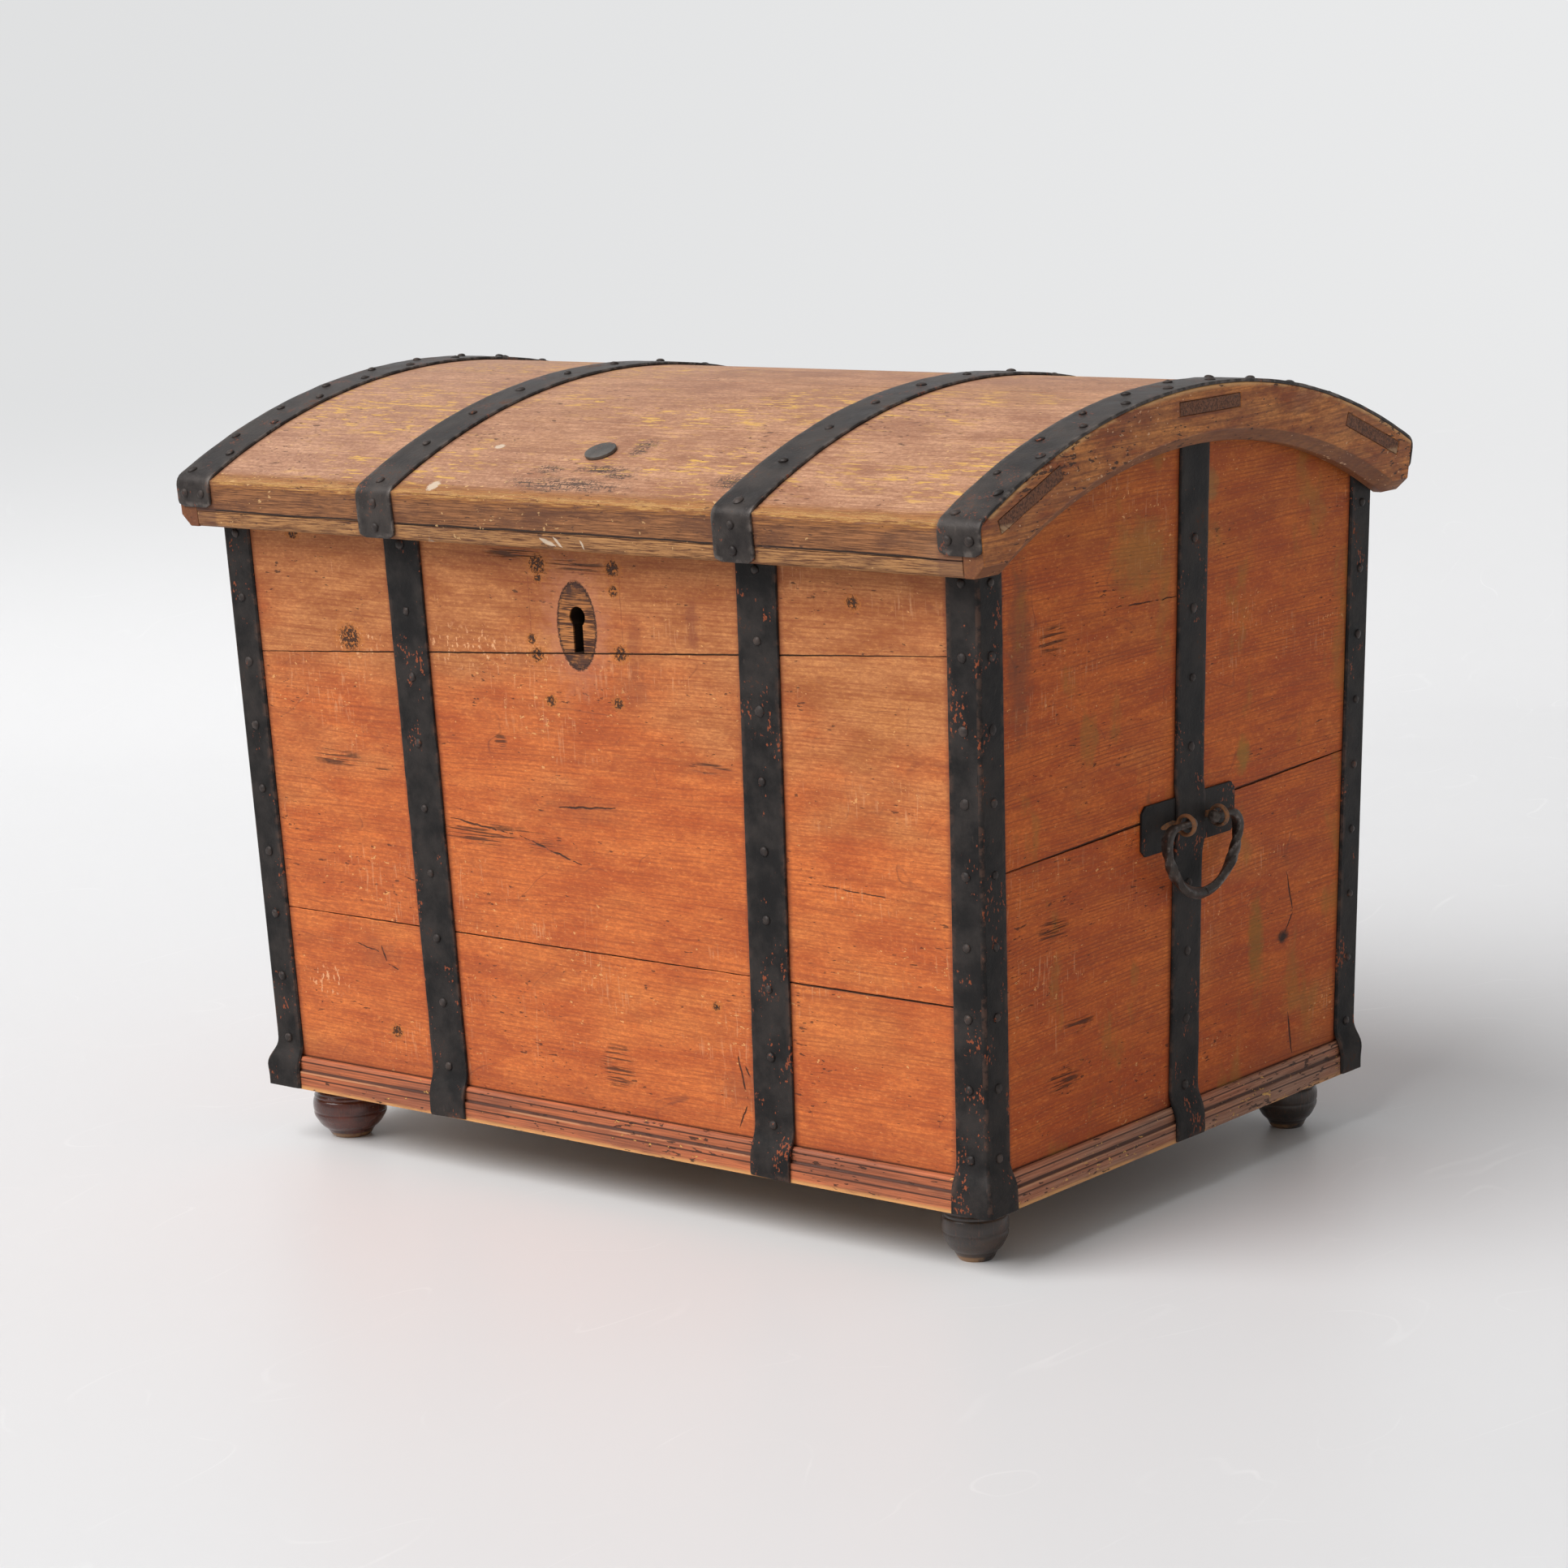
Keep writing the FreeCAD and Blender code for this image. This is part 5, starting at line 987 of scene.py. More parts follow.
BLACK_IRON = forge_finish("blackened iron", (0.013, 0.012, 0.012), (0.034, 0.029, 0.027), 0.46, 0.55, 0.45,
                          (0.13, 0.07, 0.05), 0.05, 0.5, (0.08, 0.038, 0.026), (0.09, 0.066, 0.055),
                          specular=0.12)
LID_IRON = forge_finish("worn lid iron", (0.02, 0.016, 0.015), (0.056, 0.046, 0.041), 0.52, 0.62, 0.5,
                        (0.24, 0.2, 0.175), 0.3, 0.44, (0.115, 0.055, 0.036), (0.2, 0.165, 0.14), 0.5)
NAIL_IRON = forge_finish("nail heads", (0.018, 0.014, 0.013), (0.045, 0.035, 0.031), 0.5, 0.4, 0.22,
                         (0.15, 0.105, 0.085), 0.15, 0.5, fleck_share=0.6)
BAIL_IRON = forge_finish("bail iron", (0.026, 0.019, 0.016), (0.068, 0.053, 0.044), 0.45, 0.5, 0.5,
                         (0.24, 0.2, 0.18), 0.3, 0.44, (0.13, 0.06, 0.032), fleck_share=0.2)
STAPLE_IRON = forge_finish("rusty staples", (0.07, 0.04, 0.026), (0.17, 0.092, 0.052), 0.9, 0.3, 0.4,
                           (0.34, 0.23, 0.16), 0.15, 0.58, (0.26, 0.11, 0.045), fleck_share=0.3)
LOCK_IRON = forge_finish("dull lock iron", (0.075, 0.068, 0.062), (0.15, 0.135, 0.12), 0.45, 0.4, 0.3,
                         (0.3, 0.27, 0.24), 0.4, 0.45)
print("iron finishes:", [m.name for m in bpy.data.materials if "iron" in m.name or "nail" in m.name])

# %% [markdown]
# ## Soft edges for the boards
# A CAD board has knife-sharp edges, and no used board has. Each board's mesh is copied, its loose
# triangles are joined into flat faces, and a Bevel modifier rounds the edges. The copy stands for
# the CAD piece. It also carries the plank's own number, which the paint reads.


# %% Boards, rails, plinths and plates with soft edges
EDGE_ANGLE = math.radians(30)


def soft_edged(node_name, material, width, plank):
    """A merged copy of a CAD piece whose edges over 30 degrees are rounded by a width."""
    source = NODES[node_name]
    mesh = source.data.copy()
    mesh.name = f"soft_{node_name}"
    shape = bmesh.new()
    shape.from_mesh(mesh)
    bmesh.ops.remove_doubles(shape, verts=shape.verts, dist=0.00002)
    bmesh.ops.dissolve_limit(shape, angle_limit=math.radians(1), verts=shape.verts, edges=shape.edges)
    shape.to_mesh(mesh)
    shape.free()
    if "custom_normal" in mesh.attributes:
        mesh.attributes.remove(mesh.attributes["custom_normal"])
    mesh.shade_smooth()
    number = mesh.attributes.new("plank", "FLOAT", "POINT")
    number.data.foreach_set("value", np.full(len(mesh.vertices), plank, np.float32))
    mesh.materials.clear()
    mesh.materials.append(material)
    piece = bpy.data.objects.new(f"soft_{node_name}", mesh)
    bpy.context.scene.collection.objects.link(piece)
    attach(piece, source["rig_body"])
    subparts = frame["record"]["subparts"]
    next(row["material_slot"] for row in subparts if row["node"] == node_name)
    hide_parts(node_name)
    bevel = piece.modifiers.new("soft edges", "BEVEL")
    bevel.width = width
    bevel.segments = 2
    bevel.limit_method = "ANGLE"
    bevel.angle_limit = EDGE_ANGLE
    bevel.use_clamp_overlap = True
    bevel.harden_normals = True


# The order counts: a plank's number moves its grain.
SOFT_BOARDS = [
    (WALL_PAINT, 0.001, ["front_board_bottom", "front_board_middle", "front_board_top",
                          "back_board_bottom", "back_board_top"]),
    (END_PAINT, 0.001, ["left_end_board_bottom", "left_end_board_top",
                         "right_end_board_bottom", "right_end_board_top"]),
    (BARE_PINE, 0.001, ["bottom_board_back", "bottom_board_front"]),
    (LID_PAINT, 0.0016, ["lid_stave_1"]),
    (LID_PAINT, 0.0009, ["lid_stave_2", "lid_stave_3", "lid_stave_4"]),
    (LID_PAINT, 0.0016, ["lid_stave_5"]),
    (LID_PAINT, 0.0009, ["lid_back_rail", "lid_front_rail"]),
    (LID_END_PAINT, 0.0014, ["lid_end_board_left", "lid_end_board_right"]),
    (PLINTH_PAINT, 0.0007, ["plinth_front"]),
    (PLINTH_END_PAINT, 0.0007, ["plinth_left", "plinth_right"]),
    (BLACK_IRON, 0.0005, ["handle_plate_left", "handle_plate_right"]),
    (BLACK_IRON, 0.0006, ["back_hinge_strap_left", "back_hinge_strap_right"]),
    (LOCK_IRON, 0.0006, ["lid_hasp"])]
boards = [(node_name, material, width) for material, width, names in SOFT_BOARDS for node_name in names]
for number, (node_name, material, width) in enumerate(boards, start=1):
    soft_edged(node_name, material, width, float(number))
print(len(boards), "pieces have soft edges")

# %% [markdown]
# ## Straps on the body
# A strap starts under the rim, runs down the wall, bends out over the plinth and ends just above the
# floor side of it. Its path is the wall's own face. The end straps also step out over the handle
# plates.


# %% Body straps
STRAP_FOOT_Z, OVER_PLATE = 0.046, 0.0027
# An end strap's steps over the handle plate: height and distance from the wall.
JOGGLE = ((0.3805, SEAT), (0.375, OVER_PLATE), (0.329, OVER_PLATE), (0.3235, SEAT))


def lean(z, low_place, high_place, high_z):
    """Where a leaning strap's middle is at height z."""
    return low_place + (high_place - low_place) * (np.asarray(z) - STRAP_FOOT_Z) / (high_z - STRAP_FOOT_Z)


def down_wall(face, plinth_out, top_z, over=()):
    """Distance out and height of an iron's inside, from its top down over the plinth."""
    return [(float(face(top_z)) + SEAT, top_z), *over, (float(face(0.096)) + SEAT, 0.096),
            (plinth_out + SEAT, 0.078), (plinth_out + SEAT, IRON_LOW_Z)]


front_run = down_wall(side_face, PLINTH_OUT_Y, IRON_TOP_Z)
joggle = [(float(end_face(z)) + away, z) for z, away in JOGGLE]
end_run = down_wall(end_face, PLINTH_OUT_X, 0.7157, joggle)
for side, sign in (("left", -1), ("right", 1)):
    path = [(sign * lean(z, 0.199, 0.216, 0.653), -out, z) for out, z in front_run]
    make_piece(f"forged_front_strap_{side}", [forged_strap(path, (1, 0, 0), IRON_WIDTH, 11 + sign)], "chest",
               [f"front_strap_{side}"], BLACK_IRON)
    path = [(sign * out, lean(z, 0.003, 0.013, 0.7257), z) for out, z in end_run]
    make_piece(f"forged_end_strap_{side}", [forged_strap(path, (0, sign, 0), IRON_WIDTH, 21 + sign)], "chest",
               [f"end_strap_{side}"], BLACK_IRON)
print("four body straps forged")

# %% [markdown]
# ## Corner irons
# A corner iron is one sheet folded round the corner of the chest, with a leg on each wall. Its
# section is drawn round the fold at every height, and both legs bend out over the plinth together.


# %% Corner irons
LEG, LEG_FLAT, FOLD = 0.035, 0.0275, 0.0036
SHEET_DENT_SIZE, SHEET_DENT_DEPTH = 0.026, 0.00025
BULGE, BULGE_Z, BULGE_REACH = 0.0016, 0.083, 0.012  # where the sheet is bent over the plinth


def corner_iron(across_sign, depth_sign, seed):
    """The section round the fold at each height: in along one leg's inside, out round the fold's
    outside by a quarter circle of 3.6 mm, and back along the other leg, with hammered faces."""
    x_path = even_path([(out, 0, z) for out, z in down_wall(end_face, PLINTH_OUT_X, IRON_TOP_Z)], 0.004)
    z = x_path[:, 2]
    x_inner = np.interp(z[::-1], x_path[::-1, 2], x_path[::-1, 0])[::-1]
    if depth_sign < 0:
        profile = down_wall(side_face, PLINTH_OUT_Y, IRON_TOP_Z)
    else:
        low_y = BASE_HALF_DEPTH + SEAT
        profile = [(float(side_face(IRON_TOP_Z)) + SEAT, IRON_TOP_Z), (low_y, BASE_Z), (low_y, IRON_LOW_Z)]
    outs, heights = zip(*profile[::-1])
    y_inner = np.interp(z, heights, outs)
    smooth = soften(np.stack((x_inner, y_inner, z), axis=1), 1)
    x_inner, y_inner = smooth[:, 0], smooth[:, 1]
    steps = np.concatenate(([0.0, 0.0012], np.linspace(0.006, LEG_FLAT, 5)))
    turn = np.linspace(0, math.pi / 2, 6)[:, None]
    bulge = BULGE * np.exp(-((z - BULGE_Z) / BULGE_REACH) ** 2)
    x_out, y_out = (inner + IRON + bulge for inner in (x_inner, y_inner))
    rim = np.array([0.4, 0.95, 1, 1, 1, 1, 1])[:, None]
    ends = np.array([BASE_Z, IRON_TOP_Z])
    free_x, free_y = (np.interp(z, (IRON_LOW_Z, IRON_TOP_Z), face(ends)) + SEAT + IRON - LEG
                      for face in (end_face, side_face))
    share = (steps / LEG_FLAT)[:, None]
    wall_x = free_x + (x_out - FOLD - free_x) * share
    wall_dent = hammered(wall_x, z, SHEET_DENT_SIZE, seed) * SHEET_DENT_DEPTH
    wall_y = y_inner + (IRON + bulge * share + wall_dent) * rim
    end_y = free_y + (y_out - FOLD - free_y) * share
    end_dent = hammered(end_y, z, SHEET_DENT_SIZE, seed + 1) * SHEET_DENT_DEPTH
    end_x = x_inner + (IRON + bulge * share + end_dent) * rim
    fold_x = x_out - FOLD + FOLD * np.sin(turn)
    fold_y = y_out - FOLD + FOLD * np.cos(turn)
    inner_x = np.stack((x_inner, x_inner, free_x))
    inner_y = np.stack((free_y, y_inner, y_inner))
    xs = np.concatenate((wall_x, fold_x, end_x[::-1], inner_x)).T
    ys = np.concatenate((wall_y, fold_y, end_y[::-1], inner_y)).T
    zs = np.repeat(z[:, None], xs.shape[1], axis=1)
    points = np.stack((xs * across_sign, ys * depth_sign, zs), axis=-1)
    leg_wear_and_highlight, fold_wear_and_highlight, inner_wear_and_highlight = [1.0, 1.0, 0, 0, 0, 0, 0], [0.5, 0.9, 1, 1, 0.9, 0.5], [0.3, 0, 0.3]
    wear = np.concatenate((leg_wear_and_highlight, fold_wear_and_highlight, leg_wear_and_highlight[::-1], inner_wear_and_highlight))
    return closed_surface(points, edge=wear)


for number, (name, across_sign, depth_sign) in enumerate((
        ("front_left", -1, -1), ("front_right", 1, -1), ("back_left", -1, 1), ("back_right", 1, 1))):
    make_piece(f"folded_corner_iron_{name}", [corner_iron(across_sign, depth_sign, 31 + 2 * number)], "chest",
               [f"corner_iron_{name}"], BLACK_IRON)
print("four corner irons folded")

# %% [markdown]
# ## Irons over the lid
# Two bands close the joints between the staves and the end boards. Two longer straps run over the
# lid and end at the back in rolled eyes, which turn on the hinge pins.


# %% Lid bands and hinge straps
END_LAP_Z, FRONT_LAP_Z, BACK_LAP_Z = 0.6342, 0.616, 0.615
HINGE_Y, HINGE_Z = 0.3268, 0.6074
EYE_WIDTH, EYE_GAP, EYE_MIDDLE = 0.01467, 0.0005, 0.0056  # the last is the radius of the bar's middle
TONGUE_Y, TONGUE_TOP_Z = 0.33085, 0.6155
LAP_ROUNDING = 0.007


def over_lid(x, front_z, back_z):
    """The inside of an iron from its front lap, over the curve, to its back lap."""
    radius = LID_RADIUS + SEAT
    half = math.asin((LID_HALF_DEPTH + SEAT) / radius)
    turn = np.linspace(-half, half, 90)
    curve = [(x, radius * math.sin(a), LID_AXIS_Z + radius * math.cos(a)) for a in turn]
    return [(x, -float(rail_face(-1, front_z)) - SEAT, front_z), *curve,
            (x, float(rail_face(1, back_z)) + SEAT, back_z)]


def rolled_eye(x):
    """A ring of strap iron about the hinge's axis: a rounded flat section carried round a circle."""
    turn = all_round(40)
    circle = np.stack((np.full(40, x), HINGE_Y + EYE_MIDDLE * np.cos(turn),
                       HINGE_Z + EYE_MIDDLE * np.sin(turn)), axis=1)
    half = EYE_WIDTH / 2
    section = np.array([(-half, -0.0012), (-half, 0.0012), (-half + 0.0005, 0.0015), (half - 0.0005, 0.0015),
                        (half, 0.0012), (half, -0.0012), (half - 0.0004, -0.0015), (-half + 0.0004, -0.0015)])
    wear = np.array([0.6, 0.9, 1, 1, 0.9, 0.6, 0, 0])
    return carry(circle, np.array([1.0, 0, 0]), section[None], ring=True, edge=wear)


for side, sign in (("left", -1), ("right", 1)):
    band = forged_strap(over_lid(END_BAND_X * sign, END_LAP_Z, END_LAP_Z), (-1, 0, 0), IRON_WIDTH, 41 + sign,
                        LAP_ROUNDING, LAP_ROUNDING)
    make_piece(f"forged_lid_end_band_{side}", [band], "lid", [f"lid_end_band_{side}"], LID_IRON)
    x = STRAP_X * sign
    surfaces = [forged_strap(over_lid(x, FRONT_LAP_Z, BACK_LAP_Z), (-1, 0, 0), IRON_WIDTH, 51 + sign,
                             LAP_ROUNDING)]
    for way in (-1, 1):
        eye_x = x + way * (EYE_WIDTH + EYE_GAP)
        tongue = [(eye_x, TONGUE_Y, TONGUE_TOP_Z), (eye_x, TONGUE_Y, HINGE_Z)]
        surfaces += [forged_strap(tongue, (-1, 0, 0), EYE_WIDTH, 61 + way), rolled_eye(eye_x)]
    make_piece(f"forged_lid_hinge_strap_{side}", surfaces, "lid", [f"lid_hinge_strap_{side}"],
               LID_IRON)
print("lid irons forged, crest at", round(LID_AXIS_Z + LID_RADIUS + IRON, 4))

# %% [markdown]
# ## Nails
# The nails are hand-made: no two heads have the same size, tilt or middle. The CAD nodes hold a
# simple head at every nail's place, so the places are read from them and a low dome of four rings is
# set at each, with small differences from a fixed list of chance numbers.


# %% Nail heads
NAIL_RADIUS, NAIL_RISE, NAIL_HEIGHT = 0.0043, 0.0023, 0.0022  # of the dome; the last is the CAD head's
NAIL_SIDES = 9
# The dome's rings: width and height as shares, and wear, which also carries a painted highlight brightest at
# the crown.
NAIL_RINGS = np.array([(1.0, 0.0, 0.1), (1.03, 0.22, 0.4), (0.8, 0.66, 0.9), (0.42, 0.93, 1.0)])
NAIL_POINTS = len(NAIL_RINGS) * NAIL_SIDES + 1


def nail_places(node_name):
    """Tip and outward direction of each CAD nail: a nail is eight triangles, three of them underneath."""
    mesh = NODES[node_name].data
    mesh.calc_loop_triangles()
    corners = np.empty(len(mesh.loop_triangles) * 3, np.int32)
    mesh.loop_triangles.foreach_get("vertices", corners)
    points = np.empty(len(mesh.vertices) * 3, np.float32)
    mesh.vertices.foreach_get("co", points)
    triangles = points.reshape(-1, 3)[corners].reshape(-1, 8, 3, 3).astype(float)
    normals = unit(np.cross(triangles[:, :, 1] - triangles[:, :, 0], triangles[:, :, 2] - triangles[:, :, 0]))
    alike = np.einsum("nik,njk->nij", normals, normals) > 0.999
    under = np.argmax(alike.sum(axis=2), axis=1)
    outward = -normals[np.arange(len(normals)), under]
    reach = np.einsum("nck,nk->nc", triangles.reshape(-1, 24, 3), outward)
    tips = triangles.reshape(-1, 24, 3)[np.arange(len(reach)), np.argmax(reach, axis=1)]
    return tips, outward


def nail_heads(node_name, seed):
    """All heads of a node at once: rings of a low dome, widened, tilted and shifted by chance."""
    tips, outward = nail_places(node_name)
    chance = np.random.default_rng(seed)
    count = len(tips)
    turn = all_round(NAIL_SIDES)
    width, height = NAIL_RINGS[None, :, :1], NAIL_RINGS[None, :, 1:2]
    wobble = 1 + chance.uniform(-0.11, 0.11, (count, 1, NAIL_SIDES))
    radius = NAIL_RADIUS * chance.uniform(0.88, 1.14, (count, 1, 1)) * width * wobble
    lift = NAIL_RISE * height * chance.uniform(0.85, 1.1, (count, 1, 1)) * np.ones((1, 1, NAIL_SIDES))
    slant = chance.uniform(-0.08, 0.08, (count, 2, 1, 1))
    flat_x = radius * np.cos(turn) + slant[:, 0] * lift
    flat_y = radius * np.sin(turn) + slant[:, 1] * lift
    lift = lift + (slant[:, 0] * flat_x + slant[:, 1] * flat_y) * height * 0.9
    helper = np.where(np.abs(outward[:, :1]) > 0.8, [[0.0, 1.0, 0.0]], [[1.0, 0.0, 0.0]])
    side = unit(np.cross(outward, helper))
    other = np.cross(outward, side)
    base = tips - outward * NAIL_HEIGHT
    points = (base[:, None, None] + side[:, None, None] * flat_x[..., None]
              + other[:, None, None] * flat_y[..., None] + outward[:, None, None] * lift[..., None])
    crown = base + outward * NAIL_RISE * chance.uniform(0.95, 1.1, (count, 1))
    cloud = np.concatenate((points.reshape(count, -1, 3), crown[:, None]), axis=1)
    first = (np.arange(count) * NAIL_POINTS)[:, None]
    quads = (grid_faces(len(NAIL_RINGS), NAIL_SIDES, False)[None] + first[..., None]).reshape(-1, 4)
    column = np.arange(NAIL_SIDES)
    top = NAIL_POINTS - 1 - NAIL_SIDES + column
    fan = np.stack((top, np.roll(top, -1), np.full(NAIL_SIDES, NAIL_POINTS - 1)), axis=1)
    fans = (fan[None] + first[..., None]).reshape(-1, 3).tolist()
    floors = (column[::-1][None] + first).tolist()
    wear = np.tile(np.concatenate((np.repeat(NAIL_RINGS[:, 2], NAIL_SIDES), [1.0])), count)
    return cloud.reshape(-1, 3), quads, fans + floors, wear


for number, node_name in enumerate(("front_strap_nails", "corner_iron_nails", "end_strap_nails",
                                    "hinge_strap_nails", "lid_band_nails", "lid_hinge_strap_nails")):
    surface = nail_heads(node_name, 70 + number)
    make_piece(f"forged_{node_name}", [surface], NODES[node_name]["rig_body"], [node_name],
               NAIL_IRON, sharp=60)
    print(node_name, len(surface[0]) // NAIL_POINTS, "heads")

# %% [markdown]
# ## Handles
# Each bail is a square bar, twisted on its way down each side and hammered flat and smooth in the
# middle. It hangs in two staples, whose tails are bent flat against the plate.

# %% Bails and staples
PIVOT_X, PIVOT_Y, PIVOT_Z = 0.45988, 0.0075, 0.352
CORNER_RADIUS, SWEEP_RADIUS, SWEEP_DROP = 0.014, 0.058, 0.008
BAR_WIDE, BAR_DEEP = 0.0048, 0.004  # half the bail's bar
BEAD_OUT, BEAD_LONG, BEAD_WIDE = 0.0185, 0.0045, 0.0062
STAPLE_OUT, EYE_RADIUS, TAIL_LONG, TAIL_HALF, TAIL_THICK = 0.0265, 0.00875, 0.019, 0.0031, 0.0017


def bail_line():
    """Half the bail's line and its mirror: a pin, a corner of radius 14 mm, and an arc of radius 58 mm."""
    rise = CORNER_RADIUS - SWEEP_DROP
    corner_x = math.sqrt((SWEEP_RADIUS - CORNER_RADIUS) ** 2 - rise ** 2)
    joint = math.atan2(rise, corner_x)
    small = np.linspace(math.pi / 2, -joint, 14)[1:]
    large = np.linspace(-joint, -math.pi / 2, 40)[1:]
    right = np.concatenate((
        [(0.0195, 0.0), (0.027, 0.0), (0.035, 0.0), (corner_x, 0.0)],
        np.stack((corner_x + CORNER_RADIUS * np.cos(small), CORNER_RADIUS * (np.sin(small) - 1)), axis=1),
        np.stack((SWEEP_RADIUS * np.cos(large), SWEEP_RADIUS * np.sin(large) - SWEEP_DROP), axis=1)))
    left = right[:-1] * (-1, 1)
    return np.concatenate((right, left[::-1]))


def forged_bail(sign):
    """A rounded square section carried down, round and up again, turned by a twist on each side."""
    flat = bail_line()
    path = np.stack((np.full(len(flat), sign * PIVOT_X), PIVOT_Y + flat[:, 0], PIVOT_Z + flat[:, 1]), axis=1)
    path = soften(even_path(path, 0.0018), 1)
    run = run_along(path)
    share = run / run[-1]
    fold = np.minimum(share, 1 - share)
    rise = np.clip((fold - 0.16) / 0.2, 0, 1)
    twist = 1.25 * math.pi * rise * rise * (3 - 2 * rise) * np.where(share > 0.5, -1, 1)
    thin = 0.8 + 0.2 * np.clip((fold - 0.07) / 0.06, 0, 1)
    thin = thin * (1 + 0.03 * hammered(run, 0 * run, 0.02, 81 + sign))
    turn = all_round(20)
    squared = (np.abs(np.cos(turn)) ** 5 + np.abs(np.sin(turn)) ** 5) ** -0.2
    roundness = np.clip((fold - 0.07) / 0.08, 0, 1)[:, None]
    reach = 1 + (squared - 1) * roundness
    a = BAR_WIDE * thin[:, None] * reach * np.cos(turn)
    b = BAR_DEEP * thin[:, None] * reach * np.sin(turn)
    across = a * np.cos(twist)[:, None] - b * np.sin(twist)[:, None]
    out = a * np.sin(twist)[:, None] + b * np.cos(twist)[:, None]
    wear = np.broadcast_to((squared - 1) / 0.15, across.shape)
    return carry(path, np.array([1.0, 0, 0]), np.stack((across, out), axis=-1), edge=wear)


def curled_end(sign, way):
    """The bar's end: a flattened bead, as a ball whose width is drawn out along the pin."""
    rise = np.linspace(-math.pi / 2, math.pi / 2, 12)[1:-1]
    turn = all_round(18)
    along = BEAD_LONG * np.sin(rise)[:, None] + np.zeros(18)
    wide = BEAD_WIDE * np.cos(rise)[:, None]
    points = np.stack((sign * PIVOT_X + wide * np.cos(turn), PIVOT_Y + way * (BEAD_OUT + along),
                       PIVOT_Z + wide * np.sin(turn)), axis=-1)
    return closed_surface(points, edge=0.5)


def staple(sign, way, seed):
    """An eye of flattened bar, a shank into the wall and a tail bent out flat against the plate."""
    y = PIVOT_Y + way * STAPLE_OUT
    turn, around = all_round(36), all_round(14)
    circle = np.stack((sign * PIVOT_X + EYE_RADIUS * np.cos(turn), np.full(36, y),
                       PIVOT_Z + EYE_RADIUS * np.sin(turn)), axis=1)
    dent = 1 + 0.04 * hammered(turn[:, None] * EYE_RADIUS, 0 * around, 0.012, seed)
    section = np.stack((0.003 * np.cos(around) * dent, 0.00175 * np.sin(around) * dent), axis=-1)
    eye = carry(circle, np.array([0, 1.0, 0]), section, ring=True, edge=0.3)
    plate_x = float(end_face(PIVOT_Z)) + 0.0026
    shank = even_path([(sign * (PIVOT_X - 0.0082), y, PIVOT_Z),
                       (sign * (plate_x - 0.004), y, PIVOT_Z)], 0.001)
    shank_section = np.stack((0.003 * np.cos(around), 0.0027 * np.sin(around)), axis=-1)[None]
    shaft = carry(shank, np.array([0, 1.0, 0]), shank_section)
    tail_path = even_path([(sign * plate_x, y, PIVOT_Z),
                           (sign * plate_x, y + way * TAIL_LONG, PIVOT_Z - 0.001)], 0.001)
    share = np.linspace(0, 1, len(tail_path))[:, None]
    half = TAIL_HALF * np.sqrt(np.clip(1.02 - share ** 3, 0.02, 1))
    outline = np.array([(-1, 0.0), (-1, 0.5), (-0.6, 1.0), (0, 1.15), (0.6, 1.0), (1, 0.5), (1, 0.0)])
    hint = np.array([0, 0, float(sign * way)])
    thick = TAIL_THICK * (1.05 - 0.5 * share)
    tail_section = np.stack((outline[:, 0] * half, outline[:, 1] * thick), axis=-1)
    return [eye, shaft, carry(tail_path, hint, tail_section, edge=0.4)]


for side, sign in (("left", -1), ("right", 1)):
    surfaces = [forged_bail(sign), curled_end(sign, -1), curled_end(sign, 1)]
    make_piece(f"forged_bail_{side}", surfaces, f"handle_{side}",
               [f"handle_bail_{side}"], BAIL_IRON)
staples = [surface for sign in (-1, 1) for way in (-1, 1) for surface in staple(sign, way, 90 + sign + way)]
make_piece("forged_staples", staples, "chest", ["handle_staples"], STAPLE_IRON)
print("bails hang", round(PIVOT_Z - SWEEP_RADIUS - SWEEP_DROP, 3), "m above the floor")

# %% [markdown]
# ## Turned feet
# A lathe leaves a round body with small grooves. The profile is a smooth curve through a few
# measured radii with grooves cut into it, and it is carried round the foot's own axis.


# %% Feet
FOOT_X, FOOT_Y, FOOT_TOP_Z = 0.387, 0.253, 0.0549
FOOT_RADIUS, NEW_FOOT_RADIUS = 0.03, 0.037
# The profile: heights, and radii there as shares of the foot's radius.
FOOT_HEIGHTS = np.array([0.0, 0.003, 0.006, 0.012, 0.022, 0.034, 0.046, FOOT_TOP_Z])
FOOT_SHARES = np.array([0.5, 0.57, 0.6, 0.8, 0.975, 1.0, 0.93, 0.76])
GROOVES, GROOVE_REACH = ((0.0265, 0.022), (0.0405, 0.026), (0.0445, 0.018), (0.0085, 0.02)), 0.0009


def turned_foot(x, y, radius):
    """Radius against height: a smooth curve through eight points, less four narrow grooves, carried
    round a circle about (x, y)."""
    z, fine = np.linspace(0, FOOT_TOP_Z, 70), np.linspace(0, FOOT_TOP_Z, 280)
    rough = np.pad(np.interp(fine, FOOT_HEIGHTS, FOOT_SHARES), 12, mode="edge")
    share = np.interp(z, fine, np.convolve(rough, np.ones(25) / 25, mode="valid"))
    share[:6] = np.interp(z[:6], FOOT_HEIGHTS, FOOT_SHARES)
    for groove_z, depth in GROOVES:
        share = share - depth * np.exp(-((z - groove_z) / GROOVE_REACH) ** 2)
    turn = all_round(64)
    wide = radius * share[:, None]
    height = np.repeat(z[:, None], 64, axis=1)
    return closed_surface(np.stack((x + wide * np.cos(turn), y + wide * np.sin(turn), height), axis=-1))


feet = [turned_foot(FOOT_X * across_sign, FOOT_Y * depth_sign,
                    NEW_FOOT_RADIUS if across_sign == depth_sign == -1 else FOOT_RADIUS)
        for across_sign in (-1, 1) for depth_sign in (-1, 1)]
make_piece("smooth_turned_feet", feet, "chest", ["turned_feet"], FOOT_VARNISH, sharp=50)

# %% [markdown]
# ## Pieces shown as the CAD made them
# The lock's case and bolt and the hinge pins keep their CAD shapes. Each gets its iron.

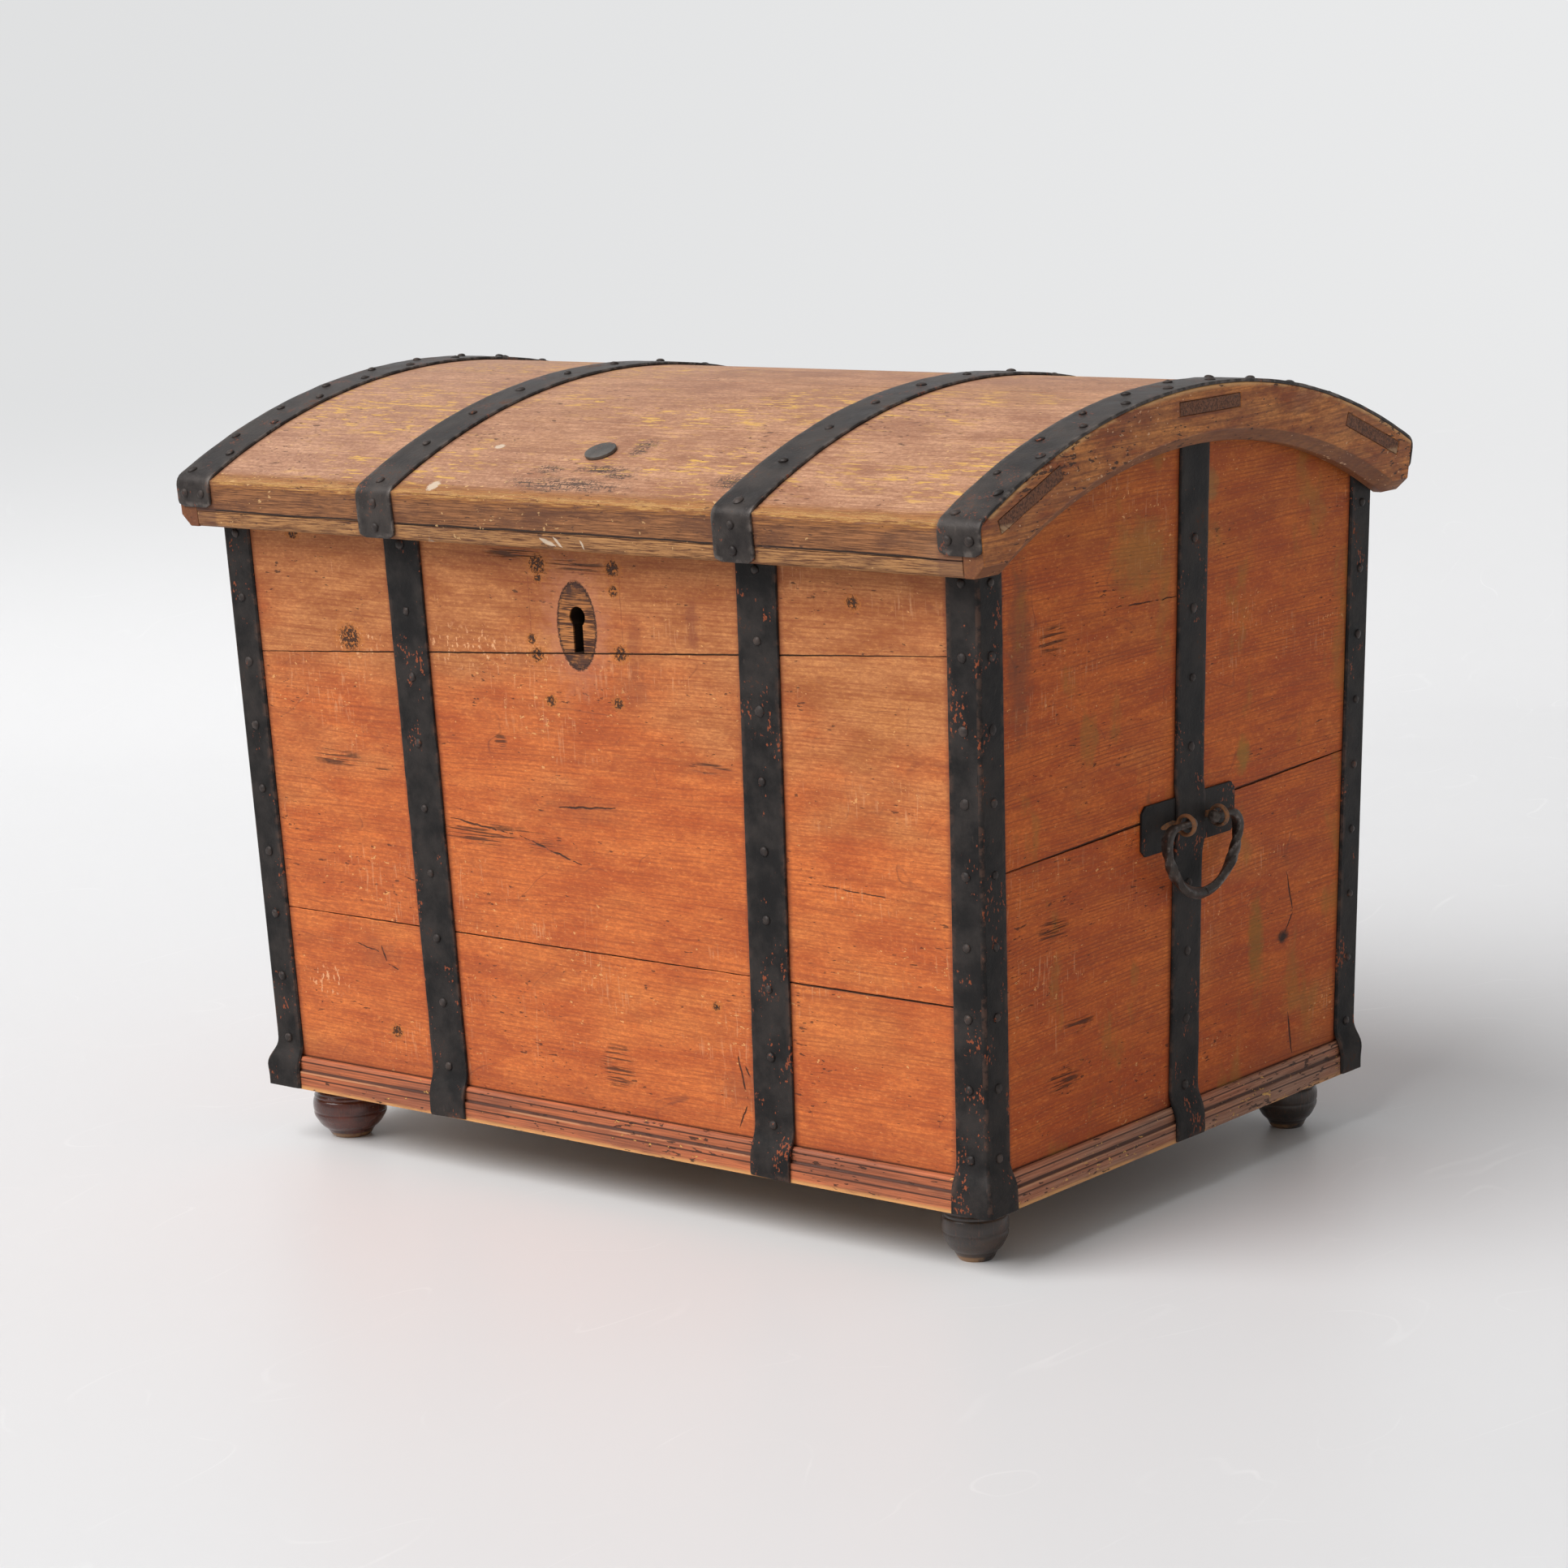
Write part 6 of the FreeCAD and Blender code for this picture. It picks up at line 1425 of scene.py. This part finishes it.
# %% Finish for the CAD pieces
for node_name in ("lock_case", "lock_bolt", "hinge_pins"):
    NODES[node_name].data.materials.clear()
    NODES[node_name].data.materials.append(LOCK_IRON)
print("CAD pieces finished:", sum(1 for piece in NODES.values() if not piece.hide_render))

# %% [markdown]
# ## Studio
# The chest stands on a pale sheet that curves up behind it. A wide soft sun from the front left
# lights the front, the lid and the floor alike, and even pale surroundings light the rest. The floor's
# colour carries painted shade that darkens it towards the right. The camera sees the upright part of
# the sheet as a glow of its own, a little brighter to the right: painted light, so that it looks
# evenly lit. The sheet is clear from behind, so that the chest's back can be looked at too.

# %% Studio sheet
VIEW_WAY = np.array([-0.638, 0.77])  # the way that the camera looks, on the floor
SHEET_BEND, BEND_START, SHEET_NEAR, SHEET_TOP, SHEET_HALF = 1.4, 2.2, -6.0, 6.0, 7.0


def backdrop():
    """A sheet along the view: flat floor, a quarter circle of 1.4 m and an upright wall."""
    bend = np.linspace(0, math.pi / 2, 24)
    run = np.concatenate(([SHEET_NEAR, BEND_START], BEND_START + SHEET_BEND * np.sin(bend),
                          [BEND_START + SHEET_BEND]))
    rise = np.concatenate(([0.0, 0.0], SHEET_BEND - SHEET_BEND * np.cos(bend), [SHEET_TOP]))
    side = np.array([VIEW_WAY[1], -VIEW_WAY[0]])
    spread = np.array([-SHEET_HALF, SHEET_HALF])
    flat = run[:, None, None] * VIEW_WAY + spread[None, :, None] * side
    points = np.concatenate((flat, np.repeat(rise[:, None, None], 2, axis=1)), axis=2)
    row = np.arange(len(run) - 1)
    faces = np.stack((2 * row, 2 * row + 1, 2 * row + 3, 2 * row + 2), axis=1)
    mesh = bpy.data.meshes.new("studio_sheet")
    mesh.from_pydata(points.reshape(-1, 3).tolist(), [], faces.tolist())
    mesh.shade_smooth()
    sheet = bpy.data.objects.new("studio_sheet", mesh)
    bpy.context.scene.collection.objects.link(sheet)
    return sheet


def paint_sheet():
    """Pale scratched floor below with painted shade towards the right, a glow for the camera above that is
    painted light, brighter to the right, and clear from behind.
    """
    material, here = start_finish("pale studio sheet")
    x, y, z = split(here)
    rightward = x * VIEW_WAY[1] - y * VIEW_WAY[0]
    # painted shade: the floor's colour darkens towards the right
    shade = mix(fade(rightward, -0.9, 1.3), (0.7, 0.7, 0.705), (0.62, 0.62, 0.625))
    worn_floor = use(SCRATCHES, Vector=stretch(here, (1, 0.4, 1)), Scale=7.0, Amount=0.4)["Mask"]
    floor_paint = layered(shade, (noise(here, 3.0, 3.0, 0.5), (0.74, 0.74, 0.745), 0.25),
                          (worn_floor, (0.84, 0.84, 0.84), 0.35))
    floor = node("BsdfPrincipled", {"Base Color": floor_paint, "Roughness": 0.42, "Specular IOR Level": 0.3})
    # painted light: the glow that the camera sees is brighter to the right
    tone = mix(fade(rightward, -2.0, 2.0), (0.74, 0.745, 0.75), (0.82, 0.825, 0.83))
    glow = node("Emission", {"Color": tone, "Strength": 1.0})
    seen = Value(node("LightPath").outputs["Is Camera Ray"]) * fade(z, 0.0, 0.5)
    blend = node("MixShader", {0: seen, 1: floor.outputs[0], 2: glow.outputs[0]})
    from_behind, clear = node("NewGeometry").outputs["Backfacing"], node("BsdfTransparent").outputs[0]
    one_sided = node("MixShader", {0: from_behind, 1: blend.outputs[0], 2: clear})
    node("OutputMaterial", {"Surface": one_sided.outputs[0]})
    return material


sheet = backdrop()
sheet.data.materials.append(paint_sheet())
print("sheet of", len(sheet.data.polygons), "faces")

# %% [markdown]
# ## Light and camera
# The sun's direction and width come from the soft shadow in the photo. The camera is the one that
# was fitted to the corners of the chest: its place, its three angles and its lens.

# %% Surroundings, lamp and camera
world = bpy.data.worlds.new("studio_light")
bpy.context.scene.world = world
world.use_nodes = True
world.node_tree.nodes.clear()
BENCH["tree"] = world.node_tree
background = node("Background", {"Color": (1.0, 1.0, 1.0), "Strength": 0.44})
node("OutputWorld", {"Surface": background.outputs[0]})

lamp = bpy.data.lights.new("soft_sun", "SUN")
lamp.energy = 3.2
lamp.angle = math.radians(48)
sun = bpy.data.objects.new("soft_sun", lamp)
sun.location = (-1.6, -2.4, 3.2)
sun.rotation_euler = Vector((0.24, 0.6, -0.76)).to_track_quat("-Z", "Y").to_euler()
bpy.context.scene.collection.objects.link(sun)

CAMERA_PLACE, CAMERA_LENS, SENSOR_WIDTH = (2.44961, -2.98148, 1.06733), 93.05, 36.0
YAW, PITCH, ROLL = -0.69186, -0.18475, -0.03901
ahead = Vector((math.sin(YAW) * math.cos(PITCH), math.cos(YAW) * math.cos(PITCH), math.sin(PITCH)))
level = Vector((math.cos(YAW), -math.sin(YAW), 0))
upright = level.cross(ahead)
right = level * math.cos(ROLL) + upright * math.sin(ROLL)
above = upright * math.cos(ROLL) - level * math.sin(ROLL)
camera = bpy.data.objects.new("studio_camera", bpy.data.cameras.new("studio_camera"))
camera.data.lens = CAMERA_LENS
camera.data.sensor_width = SENSOR_WIDTH
camera.data.sensor_fit = "HORIZONTAL"
camera.matrix_world = Matrix.Translation(CAMERA_PLACE) @ Matrix((right, above, -ahead)).transposed().to_4x4()
bpy.context.scene.collection.objects.link(camera)
bpy.context.scene.camera = camera
bpy.context.scene.view_settings.view_transform = "Standard"
